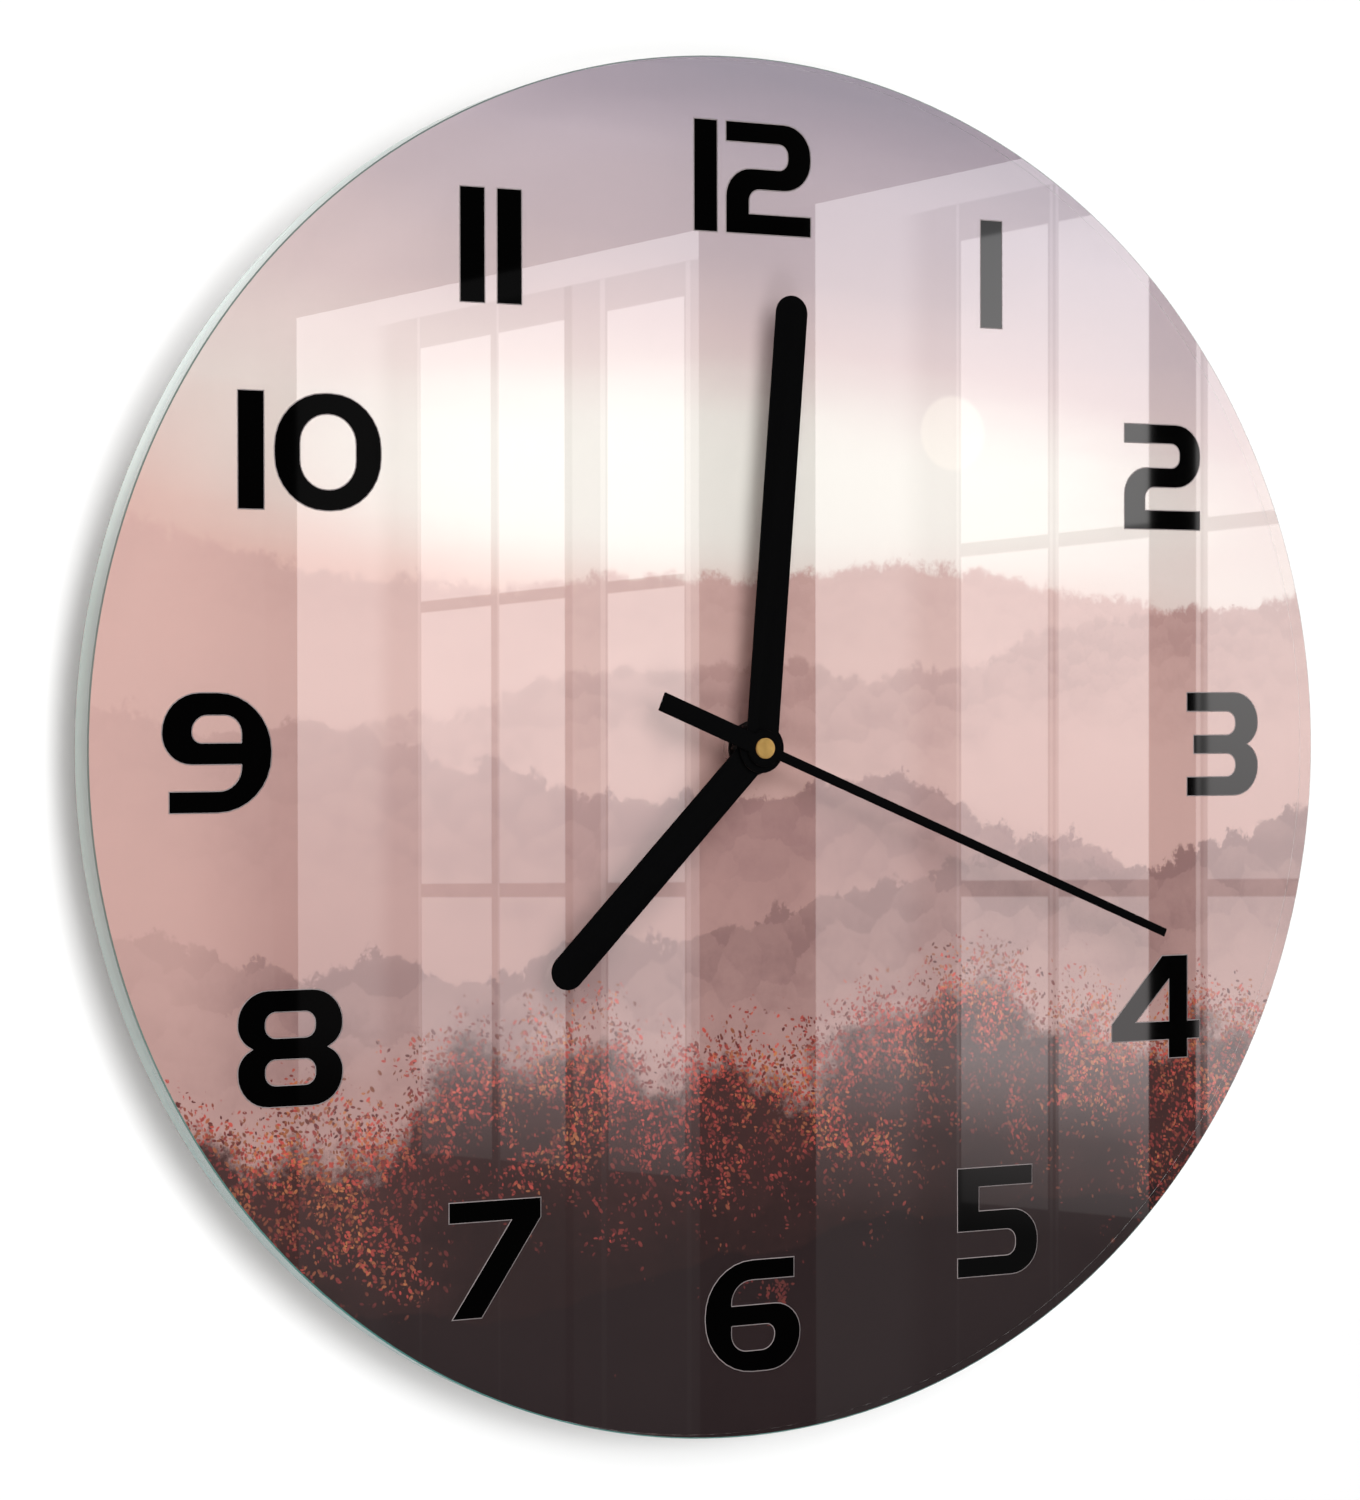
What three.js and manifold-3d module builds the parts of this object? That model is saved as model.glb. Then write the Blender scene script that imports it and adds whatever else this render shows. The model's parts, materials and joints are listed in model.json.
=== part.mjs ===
// A round glass wall clock on a geared quartz movement, in millimetres.
// Inside the clock group the wall is the plane Z = 0, the hand shaft is the Z axis, Z comes
// out of the wall, X is right and Y is up. The exported group is turned so that Z is up and
// the dial looks along -Y, with its origin on the wall at the nail that carries the clock.
import * as THREE from "three";
import { mergeVertices } from "three/addons/utils/BufferGeometryUtils.js";
import Module from "manifold-3d";

const wasm = await Module();
wasm.setup();

// Fits
const seat = 0.05; // between faces that rest on each other
const slip = 0.1; // radial, between a hole and what is pressed or pushed into it
const bearing = 0.15; // radial, between a turning arbor and its hole
const run = 0.3; // between turning pieces and what they pass
const overrun = 1; // how far a cut goes past the faces that it opens

// Glass dial and its print
const glassDiameter = 300;
const glassThickness = 8;
const glassArris = 0.8; // polished bevel round both faces
const shaftHoleDiameter = 9;
const printThickness = 0.3;
const printInset = 1; // from the rim of the glass to the edge of the print

// Battery and how far the case stands off the wall
const wallGap = 0.8;
const batteryDiameter = 14.5;
const batteryLength = 49.5; // without its positive nub
const nubDiameter = 5.5;
const nubLength = 1;
const batteryPlay = 0.15;

// Case walls
const frontWall = 1.2;
const rearWall = 1.2;
const sideWall = 1.4;
const partitionWall = 1.2;
const caseCorner = 4;
const pivotDepth = 0.8; // blind bearing holes in the walls
const postDiameter = 3.2;
const postMargin = 0.5; // from a post to the edge of the middle plate
const hookWidth = 5; // snap hooks of the front case, over catches on the rear cover
const hookSheet = 0.6;
const hookReach = 4.6; // past the parting line
const hookBar = 1.1; // round the window in a hook
const notchRadius = 9; // thumb notch in the battery bay
const notchDepth = 4;

// Gear train: teeth and modules
const rotorTeeth = 6;
const fifthTeeth = 36;
const fifthPinionTeeth = 6;
const secondTeeth = 30;
const secondPinionTeeth = 6;
const thirdTeeth = 45;
const thirdPinionTeeth = 6;
const centreTeeth = 48;
const cannonTeeth = 10;
const minuteTeeth = 30;
const minutePinionTeeth = 8;
const hourTeeth = 32;
const rotorModule = 0.33;
const fifthModule = 0.4;
const thirdModule = 0.4;
const addendum = 0.8; // in modules, above the pitch circle
const dedendum = 1.15; // in modules, below it
const toothFill = 0.7; // tooth width as a share of half the pitch
const tipFill = 0.45; // tooth width at the tip as a share of the width at the pitch circle
const rootFill = 1.3; // and at the root of a wheel
const leafTeeth = 12; // up to this count a gear has a pinion's leaves

// Gear train: arbors and thicknesses
const arborDiameter = 1;
const minuteTubeDiameter = 3.2;
const minuteTubeBore = 1.5;
const minuteTubeFlats = 2.6;
const hourTubeDiameter = 5;
const knobArborDiameter = 1.6;
const wheelThickness = 0.7;
const pinionExtra = 0.2; // pinion past each side of the wheel that it drives
const hourWheelThickness = 0.8;
const middlePlateThickness = 0.6;
const clutchSpringHeight = 0.35;
const clutchSpringDiameter = 5.6;
const clutchSpringSheet = 0.15;
const collarDiameter = 4.4;
const collarThickness = 0.3;

// Where the arbors stand, seen from the front, in degrees from three o'clock
const thirdAngle = 145;
const fifthAngle = 60;
const rotorAngle = 35;
const minuteWheelAngle = -5;

// Rotor, stator and coil
const magnetDiameter = 6;
const magnetHeight = 1.8;
const statorThickness = 0.7;
const statorAirGap = 0.4;
const statorRing = 2; // width of the ring round the rotor
const statorArm = 3.2;
const coreWidth = 3;
const coreBare = 2; // core between the bobbin and the stator's arms
const bobbinLength = 20;
const bobbinFlange = 8;
const bobbinWall = 0.7;
const coilWinding = 1.5; // depth of wire on the bobbin
const statorClear = 0.45; // from the stator's right arm to the posts beside it

// Circuit board and contacts
const boardWidth = 13;
const boardThickness = 0.8;
const chipDiameter = 7;
const chipHeight = 1.2;
const crystalDiameter = 2;
const crystalLength = 6;
const contactSheet = 0.3;
const contactWidth = 5;
const springSag = 1.4; // depth of the bow in the negative contact
const contactLap = 2; // positive contact over the edge of the board

// Bush, nut, washers and hanger
const bushDiameter = 8;
const bushBore = 5.5;
const bushFlangeDiameter = 12;
const bushFlange = 1;
const sealDiameter = 26;
const sealThickness = 1.2;
const washerDiameter = 12;
const washerThickness = 0.4;
const nutAcrossFlats = 10;
const nutThickness = 1.8;
const bushProud = 0.1; // bush past the nut
const hangerSheet = 1;
const hangerWidth = 22;
const hangerBend = 1; // inner radius
const hangerTab = 17; // height of the tab above the case
const keyholeEntry = 9;
const keyholeSlot = 4.4;
const keyholeDrop = 6.6; // from the nail's seat down to the middle of the entry
const hangerEdge = 5; // from the nail's seat up to the edge of the tab
const tabStandOff = 1.6; // from the wall to the tab

// Spacer pads
const padDiameter = 20;
const padWaist = 18;
const padChamfer = 1;
const tapeThickness = 1;
const padEdge = 40; // from the rim of the glass to the middle of a pad
const padAngle = 30; // below the horizontal

// Hands
const handSheet = 0.5;
const secondSheet = 0.4;
const handWidth = 7.7;
const hubDiameter = 10.8;
const minuteLength = 98.6;
const hourLength = 69.5;
const secondLength = 113;
const secondTail = 26.9;
const secondRootWidth = 2.2;
const secondTipWidth = 1.9;
const secondTailWidth = 4.2;
const secondHubDiameter = 8;
const handLift = 0.4; // hour hand above the bush
const handStep = 0.8; // free height between two hands
const tubeProud = 0.2; // tube or arbor past its hand
const colletHead = 4.5;
const colletHeadHeight = 0.6;
const colletTube = 2.2;
const colletLength = 0.7;
const secondAngle = 112.4; // clockwise from twelve, as the clock stands
const minuteAngle = 4.6;
const hourAngle = 224.3;

// Setting knob
const knobDiameter = 13;
const knobHeight = 3.2;
const knobFlutes = 24;
const knobFluteDepth = 0.4;
const knobRim = 2;
const knobGrip = 1.6;

// Colours and finishes
function finish(color, roughness, metalness = 0) {
  return new THREE.MeshStandardMaterial({ color, roughness, metalness });
}
const finishes = {
  glass: new THREE.MeshStandardMaterial({
    color: 0x9fc0b8,
    roughness: 0.05,
    transparent: true,
    opacity: 0.35,
  }),
  print: finish(0xc39c98, 0.6),
  blackHand: finish(0x111111, 0.45, 0.3),
  blackPlastic: finish(0x1b1c1e, 0.5),
  whitePlastic: finish(0xdcdad2, 0.45),
  brass: finish(0xc9a24a, 0.25, 1),
  darkBrass: finish(0x262320, 0.35, 0.8),
  steel: finish(0xb3b6b8, 0.35, 1),
  rubber: finish(0x202020, 0.85),
  tape: finish(0xe8e6df, 0.7),
  board: finish(0x6b4a2a, 0.5),
  copper: finish(0xa8552c, 0.35, 0.8),
  magnet: finish(0x4a4a4e, 0.4, 0.7),
  cell: finish(0x3d5f8c, 0.3, 0.4),
};

// Solids
function solid(geometry) {
  geometry.deleteAttribute("normal");
  geometry.deleteAttribute("uv");
  const merged = mergeVertices(geometry, 1e-4);
  const mesh = new wasm.Mesh({
    numProp: 3,
    vertProperties: merged.attributes.position.array,
    triVerts: new Uint32Array(merged.index.array),
  });
  return new wasm.Manifold(mesh);
}

// A shape drawn in X and Y, as thick as z0 to z1.
function plate(shape, z0, z1, curveSegments = 12) {
  const settings = { depth: z1 - z0, bevelEnabled: false, curveSegments };
  return solid(new THREE.ExtrudeGeometry(shape, settings).translate(0, 0, z0));
}

// A profile of [radius, z] points, closed on itself or on the axis, turned about Z.
function turned(profile, segments = 24) {
  const points = profile.map(([radius, z]) => new THREE.Vector2(radius, z));
  if (profile[0][0] > 0) points.push(points[0].clone());
  if (THREE.ShapeUtils.area(points) < 0) points.reverse();
  return solid(new THREE.LatheGeometry(points, segments).rotateX(Math.PI / 2));
}

function rod(diameter, z0, z1, segments = 16) {
  const r = diameter / 2;
  return turned([[0, z0], [r, z0], [r, z1], [0, z1]], segments);
}

function tube(diameter, bore, z0, z1, segments = 24) {
  const [r, b] = [diameter / 2, bore / 2];
  return turned([[b, z0], [r, z0], [r, z1], [b, z1]], segments);
}

function block(x0, x1, y0, y1, z0, z1) {
  const box = new THREE.BoxGeometry(x1 - x0, y1 - y0, z1 - z0);
  return solid(box.translate((x0 + x1) / 2, (y0 + y1) / 2, (z0 + z1) / 2));
}

function roundedRectangle(x0, x1, y0, y1, r) {
  const shape = new THREE.Shape();
  shape.absarc(x1 - r, y0 + r, r, -Math.PI / 2, 0);
  shape.absarc(x1 - r, y1 - r, r, 0, Math.PI / 2);
  shape.absarc(x0 + r, y1 - r, r, Math.PI / 2, Math.PI);
  shape.absarc(x0 + r, y0 + r, r, Math.PI, 1.5 * Math.PI);
  return shape;
}

function circle(x, y, r) {
  return new THREE.Path().absarc(x, y, r, 0, 2 * Math.PI, true);
}

// A strip of sheet metal that follows a centre line.
function strip(points, thickness, z0, z1) {
  const half = thickness / 2;
  const sides = points.map((point, i) => {
    const before = points[Math.max(i - 1, 0)];
    const after = points[Math.min(i + 1, points.length - 1)];
    const into = point.clone().sub(before).normalize();
    const out = after.clone().sub(point).normalize();
    const along = into.clone().add(out).normalize();
    const mitre = half / Math.max(0.5, along.dot(i ? into : out));
    return new THREE.Vector2(-along.y, along.x).multiplyScalar(mitre);
  });
  const left = points.map((point, i) => point.clone().add(sides[i]));
  const right = points.map((point, i) => point.clone().sub(sides[i]));
  return plate(new THREE.Shape([...right, ...left.reverse()]), z0, z1);
}

function polar(radius, degrees, from = new THREE.Vector2()) {
  const angle = THREE.MathUtils.degToRad(degrees);
  const step = new THREE.Vector2(Math.cos(angle), Math.sin(angle));
  return step.multiplyScalar(radius).add(from);
}

// A gear: a wheel has tapered teeth, and a pinion has leaves that are straight below the
// pitch circle and drawn in above it.
const pitchRadius = (teeth, module) => (teeth * module) / 2;
const tipRadius = (teeth, module) => pitchRadius(teeth, module) + addendum * module;

function gear(teeth, module, z0, z1, phase = 0, bore = 0) {
  const pitch = pitchRadius(teeth, module);
  const root = pitch - dedendum * module;
  const tip = tipRadius(teeth, module);
  const half = ((Math.PI / 2) * toothFill) / teeth;
  const tipHalf = half * tipFill;
  const flank = teeth > leafTeeth
    ? [[root, half * rootFill], [tip, tipHalf]]
    : [[root, half], [pitch, half], [tip, tipHalf]];
  const tooth = [...flank.map(([r, a]) => [r, -a]), ...flank.reverse()];
  const points = [];
  for (let i = 0; i < teeth; i++) {
    const middle = phase + (2 * Math.PI * i) / teeth;
    for (const [r, a] of tooth) {
      points.push(new THREE.Vector2(r * Math.cos(middle + a), r * Math.sin(middle + a)));
    }
  }
  const shape = new THREE.Shape(points);
  if (bore) shape.holes.push(circle(0, 0, bore / 2));
  return plate(shape, z0, z1, 8);
}

// The phase that puts a gap of the driven gear on a tooth of the driving one.
function meshPhase(driving, drivingPhase, driven, degrees) {
  const line = THREE.MathUtils.degToRad(degrees);
  const offset = ((drivingPhase - line) * driving) / (2 * Math.PI);
  return line + Math.PI + ((0.5 - offset) * 2 * Math.PI) / driven;
}

// Layers from the wall out
const caseRear = wallGap;
const frontWallIn = caseRear + batteryDiameter + 2 * batteryPlay;
const caseFront = frontWallIn + frontWall;
const hangerRear = caseFront + seat;
const hangerFront = hangerRear + hangerSheet;
const sealRear = hangerFront + seat;
const sealFront = sealRear + sealThickness;
const printRear = sealFront + seat;
const printFront = printRear + printThickness;
const glassRear = printFront + seat;
const glassFront = glassRear + glassThickness;
const washerRear = glassFront + seat;
const washerFront = washerRear + washerThickness;
const nutRear = washerFront + seat;
const nutFront = nutRear + nutThickness;
const bushFront = nutFront + bushProud;
const hourHandRear = bushFront + handLift;
const hourHandFront = hourHandRear + handSheet;
const minuteHandRear = hourHandFront + handStep;
const minuteHandFront = minuteHandRear + handSheet;
const secondHandRear = minuteHandFront + handStep;
const secondHandFront = secondHandRear + secondSheet;

// Layers of the gear train, from the front wall back
const bushFlangeFront = frontWallIn - seat;
const bushFlangeRear = bushFlangeFront - bushFlange;
const hourWheelFront = bushFlangeRear - run;
const hourWheelRear = hourWheelFront - hourWheelThickness;
const minuteWheelFront = hourWheelRear - run - pinionExtra;
const minuteWheelRear = minuteWheelFront - wheelThickness;
const cannonRear = minuteWheelRear - pinionExtra;
const centreWheelFront = cannonRear - seat;
const centreWheelRear = centreWheelFront - wheelThickness;
const springRear = centreWheelRear - seat - clutchSpringHeight;
const collarRear = springRear - seat - collarThickness;
const middlePlateFront = collarRear - bearing;
const middlePlateRear = middlePlateFront - middlePlateThickness;
const secondPinionFront = middlePlateRear - bearing;
const thirdWheelFront = secondPinionFront - pinionExtra;
const thirdWheelRear = thirdWheelFront - wheelThickness;
const secondWheelFront = thirdWheelRear - run - pinionExtra;
const secondWheelRear = secondWheelFront - wheelThickness;
const fifthWheelFront = secondWheelRear - run;
const fifthWheelRear = fifthWheelFront - wheelThickness;
const rearWallIn = fifthWheelRear - run - pinionExtra;
const recessFloor = rearWallIn - rearWall;
const parting = (middlePlateRear + secondWheelFront) / 2;

// Arbors, seen from the front
const secondDistance = pitchRadius(fifthPinionTeeth + secondTeeth, fifthModule);
const thirdDistance = pitchRadius(secondPinionTeeth + thirdTeeth, thirdModule);
const rotorDistance = pitchRadius(rotorTeeth + fifthTeeth, rotorModule);
const centreModule = (2 * thirdDistance) / (thirdPinionTeeth + centreTeeth);
const centreTip = tipRadius(centreTeeth, centreModule);
const minuteDistance = centreTip + knobArborDiameter / 2 + run;
const motionModule = (2 * minuteDistance) / (cannonTeeth + minuteTeeth);
const hourModule = (2 * minuteDistance) / (minutePinionTeeth + hourTeeth);
const thirdPlace = polar(thirdDistance, thirdAngle);
const fifthPlace = polar(secondDistance, fifthAngle);
const rotorPlace = polar(rotorDistance, rotorAngle, fifthPlace);
const minutePlace = polar(minuteDistance, minuteWheelAngle);

// Case plan
const stripClear = 0.5; // from the centre wheel to the contact strip below it
const bayPlay = 0.25;
const chamberFloor = -(centreTip + stripClear + contactSheet + bearing);
const bayTop = chamberFloor - partitionWall;
const bayBottom = bayTop - batteryDiameter - 2 * bayPlay;
const batteryY = (bayTop + bayBottom) / 2;
const caseBottom = bayBottom - sideWall;
const statorOuter = magnetDiameter / 2 + statorAirGap + statorRing;
const thirdTop = thirdPlace.y + tipRadius(thirdTeeth, thirdModule);
const coilY = Math.max(thirdTop, rotorPlace.y + statorOuter) + run + bobbinFlange / 2;
const topMargin = 2;
const chamberTop = coilY + bobbinFlange / 2 + topMargin;
const caseTop = chamberTop + sideWall;
const bayEndPlay = 0.2;
const chamberSide =
  (batteryLength + nubLength + springSag) / 2 + contactSheet + 2 * bayEndPlay;
const caseSide = chamberSide + sideWall;
const batteryRight = chamberSide - contactSheet - 2 * bayEndPlay - nubLength;
const batteryLeft = batteryRight - batteryLength;
const batteryZ = caseRear + batteryPlay + batteryDiameter / 2;
const contactRear = rearWallIn + bearing;
const contactFront = contactRear + contactWidth;
const plateTop = coilY - bobbinFlange / 2 - run;
const plateBottom = chamberFloor + bearing + contactSheet + run;
const plateSide = chamberSide - 3 * contactSheet;
const postInset = postDiameter / 2 + postMargin;
const posts = [-1, 1].flatMap((side) => [
  new THREE.Vector2(side * (plateSide - postInset), plateBottom + postInset),
  new THREE.Vector2(side * (plateSide - postInset), plateTop - postInset),
]);

// The nail's seat in the hanger, above the shaft
const hangerStepBottom = caseTop + seat + hangerBend;
const hangerStepTop = hangerStepBottom + hangerSheet;
const nailHeight = hangerStepTop + hangerTab - hangerEdge;

const clock = new THREE.Group();
clock.rotation.x = Math.PI / 2;
clock.position.z = -nailHeight;

function piece(name, body, material, place = new THREE.Vector2(), clockwise = 0) {
  const { vertProperties, triVerts, numProp } = body.getMesh();
  const geometry = new THREE.BufferGeometry();
  const position = new THREE.InterleavedBuffer(vertProperties, numProp);
  geometry.setAttribute("position", new THREE.InterleavedBufferAttribute(position, 3, 0));
  geometry.setIndex(new THREE.BufferAttribute(triVerts, 1));
  const mesh = new THREE.Mesh(geometry.toNonIndexed(), material);
  mesh.geometry.computeVertexNormals();
  mesh.name = name;
  mesh.position.set(place.x, place.y, 0);
  mesh.rotation.z = -THREE.MathUtils.degToRad(clockwise);
  clock.add(mesh);
  return mesh;
}

// Glass disc and the print behind it
const rimSides = 96;
const shaftHole = rod(shaftHoleDiameter, printRear - overrun, glassFront + overrun, 24);
function glassDisc() {
  const r = glassDiameter / 2;
  const profile = [
    [0, glassRear],
    [r - glassArris, glassRear],
    [r, glassRear + glassArris],
    [r, glassFront - glassArris],
    [r - glassArris, glassFront],
    [0, glassFront],
  ];
  return turned(profile, rimSides).subtract(shaftHole);
}
piece("glass_disc", glassDisc(), finishes.glass);
const printDisc = rod(glassDiameter - 2 * printInset, printRear, printFront, rimSides);
piece("dial_print", printDisc.subtract(shaftHole), finishes.print);

// Spacer pads that keep the lower edge off the wall
const tapeRear = printRear - seat - tapeThickness;
const padFront = tapeRear - seat;
const padReach = glassDiameter / 2 - padEdge;
function spacerPad() {
  const [r, waist] = [padDiameter / 2, padWaist / 2];
  const profile = [
    [0, 0],
    [r - padChamfer, 0],
    [r, padChamfer],
    [waist, padFront / 2],
    [r, padFront - padChamfer],
    [r, padFront],
    [0, padFront],
  ];
  return turned(profile);
}
for (const [side, degrees] of [["left", 180 + padAngle], ["right", -padAngle]]) {
  const place = polar(padReach, degrees);
  const tape = rod(padDiameter, tapeRear, tapeRear + tapeThickness, 24);
  piece("spacer_pad_" + side, spacerPad(), finishes.rubber, place);
  piece("pad_tape_" + side, tape, finishes.tape, place);
}

// Hanger: a plate clamped behind the dial, stepped back over the case to a keyhole tab
function hangerBracket() {
  const [inner, outer] = [hangerBend, hangerBend + hangerSheet];
  const stepBottom = hangerStepBottom;
  const tabFront = tabStandOff + hangerSheet;
  const low = -hangerWidth / 2;
  const side = new THREE.Shape(); // Z across, Y up
  side.moveTo(hangerRear, low);
  side.lineTo(hangerFront, low);
  side.lineTo(hangerFront, hangerStepTop - outer);
  side.absarc(hangerFront - outer, hangerStepTop - outer, outer, 0, Math.PI / 2);
  side.lineTo(tabFront + inner, hangerStepTop);
  side.absarc(tabFront + inner, hangerStepTop + inner, inner, 1.5 * Math.PI, Math.PI, true);
  side.lineTo(tabFront, nailHeight + hangerEdge);
  side.lineTo(tabStandOff, nailHeight + hangerEdge);
  side.lineTo(tabStandOff, stepBottom + outer);
  side.absarc(tabStandOff + outer, stepBottom + outer, outer, Math.PI, 1.5 * Math.PI);
  side.lineTo(hangerRear - inner, stepBottom);
  side.absarc(hangerRear - inner, stepBottom - inner, inner, Math.PI / 2, 0, true);
  const folded = new THREE.ExtrudeGeometry(side, {
    depth: hangerWidth,
    bevelEnabled: false,
    curveSegments: 5,
  });
  folded.rotateY(-Math.PI / 2).translate(hangerWidth / 2, 0, 0);
  const half = hangerWidth / 2;
  const front = new THREE.Shape();
  front.absarc(0, 0, half, Math.PI, 2 * Math.PI);
  const corner = half / 2;
  const top = nailHeight + hangerEdge;
  front.absarc(half - corner, top - corner, corner, 0, Math.PI / 2);
  front.absarc(corner - half, top - corner, corner, Math.PI / 2, Math.PI);
  const bushHole = new THREE.Shape();
  bushHole.absarc(0, 0, bushDiameter / 2 + slip, 0, 2 * Math.PI);
  const entry = new THREE.Shape();
  entry.absarc(0, nailHeight - keyholeDrop, keyholeEntry / 2, 0, 2 * Math.PI);
  const slot = new THREE.Shape();
  slot.absarc(0, nailHeight, keyholeSlot / 2, 0, Math.PI);
  slot.lineTo(-keyholeSlot / 2, nailHeight - keyholeDrop);
  slot.lineTo(keyholeSlot / 2, nailHeight - keyholeDrop);
  return solid(folded)
    .intersect(plate(front, 0, glassRear, 10))
    .subtract(plate(bushHole, 0, glassRear, 12))
    .subtract(plate(entry, 0, hangerRear - hangerSheet, 12))
    .subtract(plate(slot, 0, hangerRear - hangerSheet, 8));
}
piece("hanger_bracket", hangerBracket(), finishes.steel);

// What clamps the dial to the movement
const clampHole = bushDiameter + 2 * slip;
piece("sealing_washer", tube(sealDiameter, clampHole, sealRear, sealFront), finishes.rubber);
const dialWasher = tube(washerDiameter, clampHole, washerRear, washerFront);
piece("dial_washer", dialWasher, finishes.darkBrass);
function hexNut() {
  const corner = nutAcrossFlats / 2 / Math.cos(Math.PI / 6);
  const points = [0, 1, 2, 3, 4, 5].map((i) => polar(corner, 60 * i));
  const bevel = corner - nutAcrossFlats / 2;
  const chamfer = turned([
    [0, nutRear],
    [corner, nutRear],
    [corner, nutFront - bevel],
    [corner - bevel, nutFront],
    [0, nutFront],
  ]);
  return plate(new THREE.Shape(points), nutRear, nutFront)
    .intersect(chamfer)
    .subtract(rod(clampHole, nutRear - overrun, nutFront + overrun, 24));
}
piece("hex_nut", hexNut(), finishes.darkBrass);
function threadedBush() {
  const flangeRadius = bushFlangeDiameter / 2;
  const [r, bore, lead] = [bushDiameter / 2, bushBore / 2, 0.4];
  return turned([
    [bore, bushFlangeRear],
    [flangeRadius, bushFlangeRear],
    [flangeRadius, bushFlangeFront],
    [r, bushFlangeFront],
    [r, bushFront - lead],
    [r - lead, bushFront],
    [bore, bushFront],
  ]);
}
piece("threaded_bush", threadedBush(), finishes.brass);

// Case: a front shell, and a rear cover that steps in round the setting knob. Two hooks on
// each side of the front shell snap over wedges that stand in grooves of the cover.
const caseOutline = roundedRectangle(-caseSide, caseSide, caseBottom, caseTop, caseCorner);
const innerCorner = caseCorner - sideWall;
function chamber(z0, z1) {
  const upper = roundedRectangle(
    -chamberSide, chamberSide, chamberFloor, chamberTop, innerCorner);
  return plate(upper, z0, z1, 4);
}
function bay(z0, z1) {
  const lower = roundedRectangle(
    -chamberSide, chamberSide, bayBottom, bayTop, innerCorner);
  return plate(lower, z0, z1, 4);
}
// Notches at both ends of the partition let the contact strips through.
function notches(z0, z1) {
  const [outer, inner] = [chamberSide, chamberSide - innerCorner];
  const [low, high] = [bayTop - innerCorner, chamberFloor + innerCorner];
  return block(-outer, -inner, low, high, z0, z1).add(block(inner, outer, low, high, z0, z1));
}
const hookPlaces = [-1, 1].flatMap((side) => [
  new THREE.Vector2(side * caseSide, batteryY),
  new THREE.Vector2(side * caseSide, (plateTop + chamberTop) / 2),
]);
const hookTip = parting - hookReach;
const hookHalf = hookWidth / 2;
// A block that goes a given depth into the side wall, centred on a hook.
function atSide(place, depth, out, half, z0, z1) {
  const inner = place.x - Math.sign(place.x) * depth;
  const outer = place.x + Math.sign(place.x) * out;
  const [x0, x1] = [Math.min(inner, outer), Math.max(inner, outer)];
  return block(x0, x1, place.y - half, place.y + half, z0, z1);
}
function snapHook(place) {
  const windowHalf = hookHalf - hookBar;
  return atSide(place, hookSheet, 0, hookHalf, hookTip, parting + hookBar)
    .subtract(atSide(
      place, hookSheet + overrun, overrun, windowHalf, hookTip + hookBar, parting - hookBar));
}
function snapCatch(place) {
  const wedge = new THREE.Shape();
  const [low, high] = [hookTip + hookBar + slip, parting - hookBar - slip];
  const root = hookSheet + 2 * slip;
  wedge.moveTo(-root, low).lineTo(-slip, low).lineTo(slip - hookSheet, high).lineTo(-root, high);
  const half = hookHalf - hookBar - slip;
  const standing = plate(wedge, -half, half).rotate([90, 0, 0]);
  const sided = place.x < 0 ? standing.mirror([1, 0, 0]) : standing;
  return sided.translate([place.x, place.y, 0]);
}
function frontCase() {
  let shell = plate(caseOutline, parting + seat, caseFront, 4)
    .subtract(chamber(parting - overrun, frontWallIn))
    .subtract(bay(parting - overrun, frontWallIn))
    .subtract(notches(parting - overrun, contactFront + bearing));
  for (const post of posts) {
    const column = rod(postDiameter, middlePlateFront + seat, frontWallIn + seat, 12);
    shell = shell.add(column.translate([post.x, post.y, 0]));
  }
  for (const place of hookPlaces) shell = shell.add(snapHook(place));
  const pivot = (diameter) =>
    rod(diameter + 2 * bearing, frontWallIn - overrun, frontWallIn + pivotDepth, 12);
  return shell
    .subtract(rod(bushDiameter + 2 * slip, frontWallIn - overrun, caseFront + overrun, 24))
    .subtract(pivot(arborDiameter).translate([thirdPlace.x, thirdPlace.y, 0]))
    .subtract(pivot(arborDiameter).translate([minutePlace.x, minutePlace.y, 0]));
}
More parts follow.
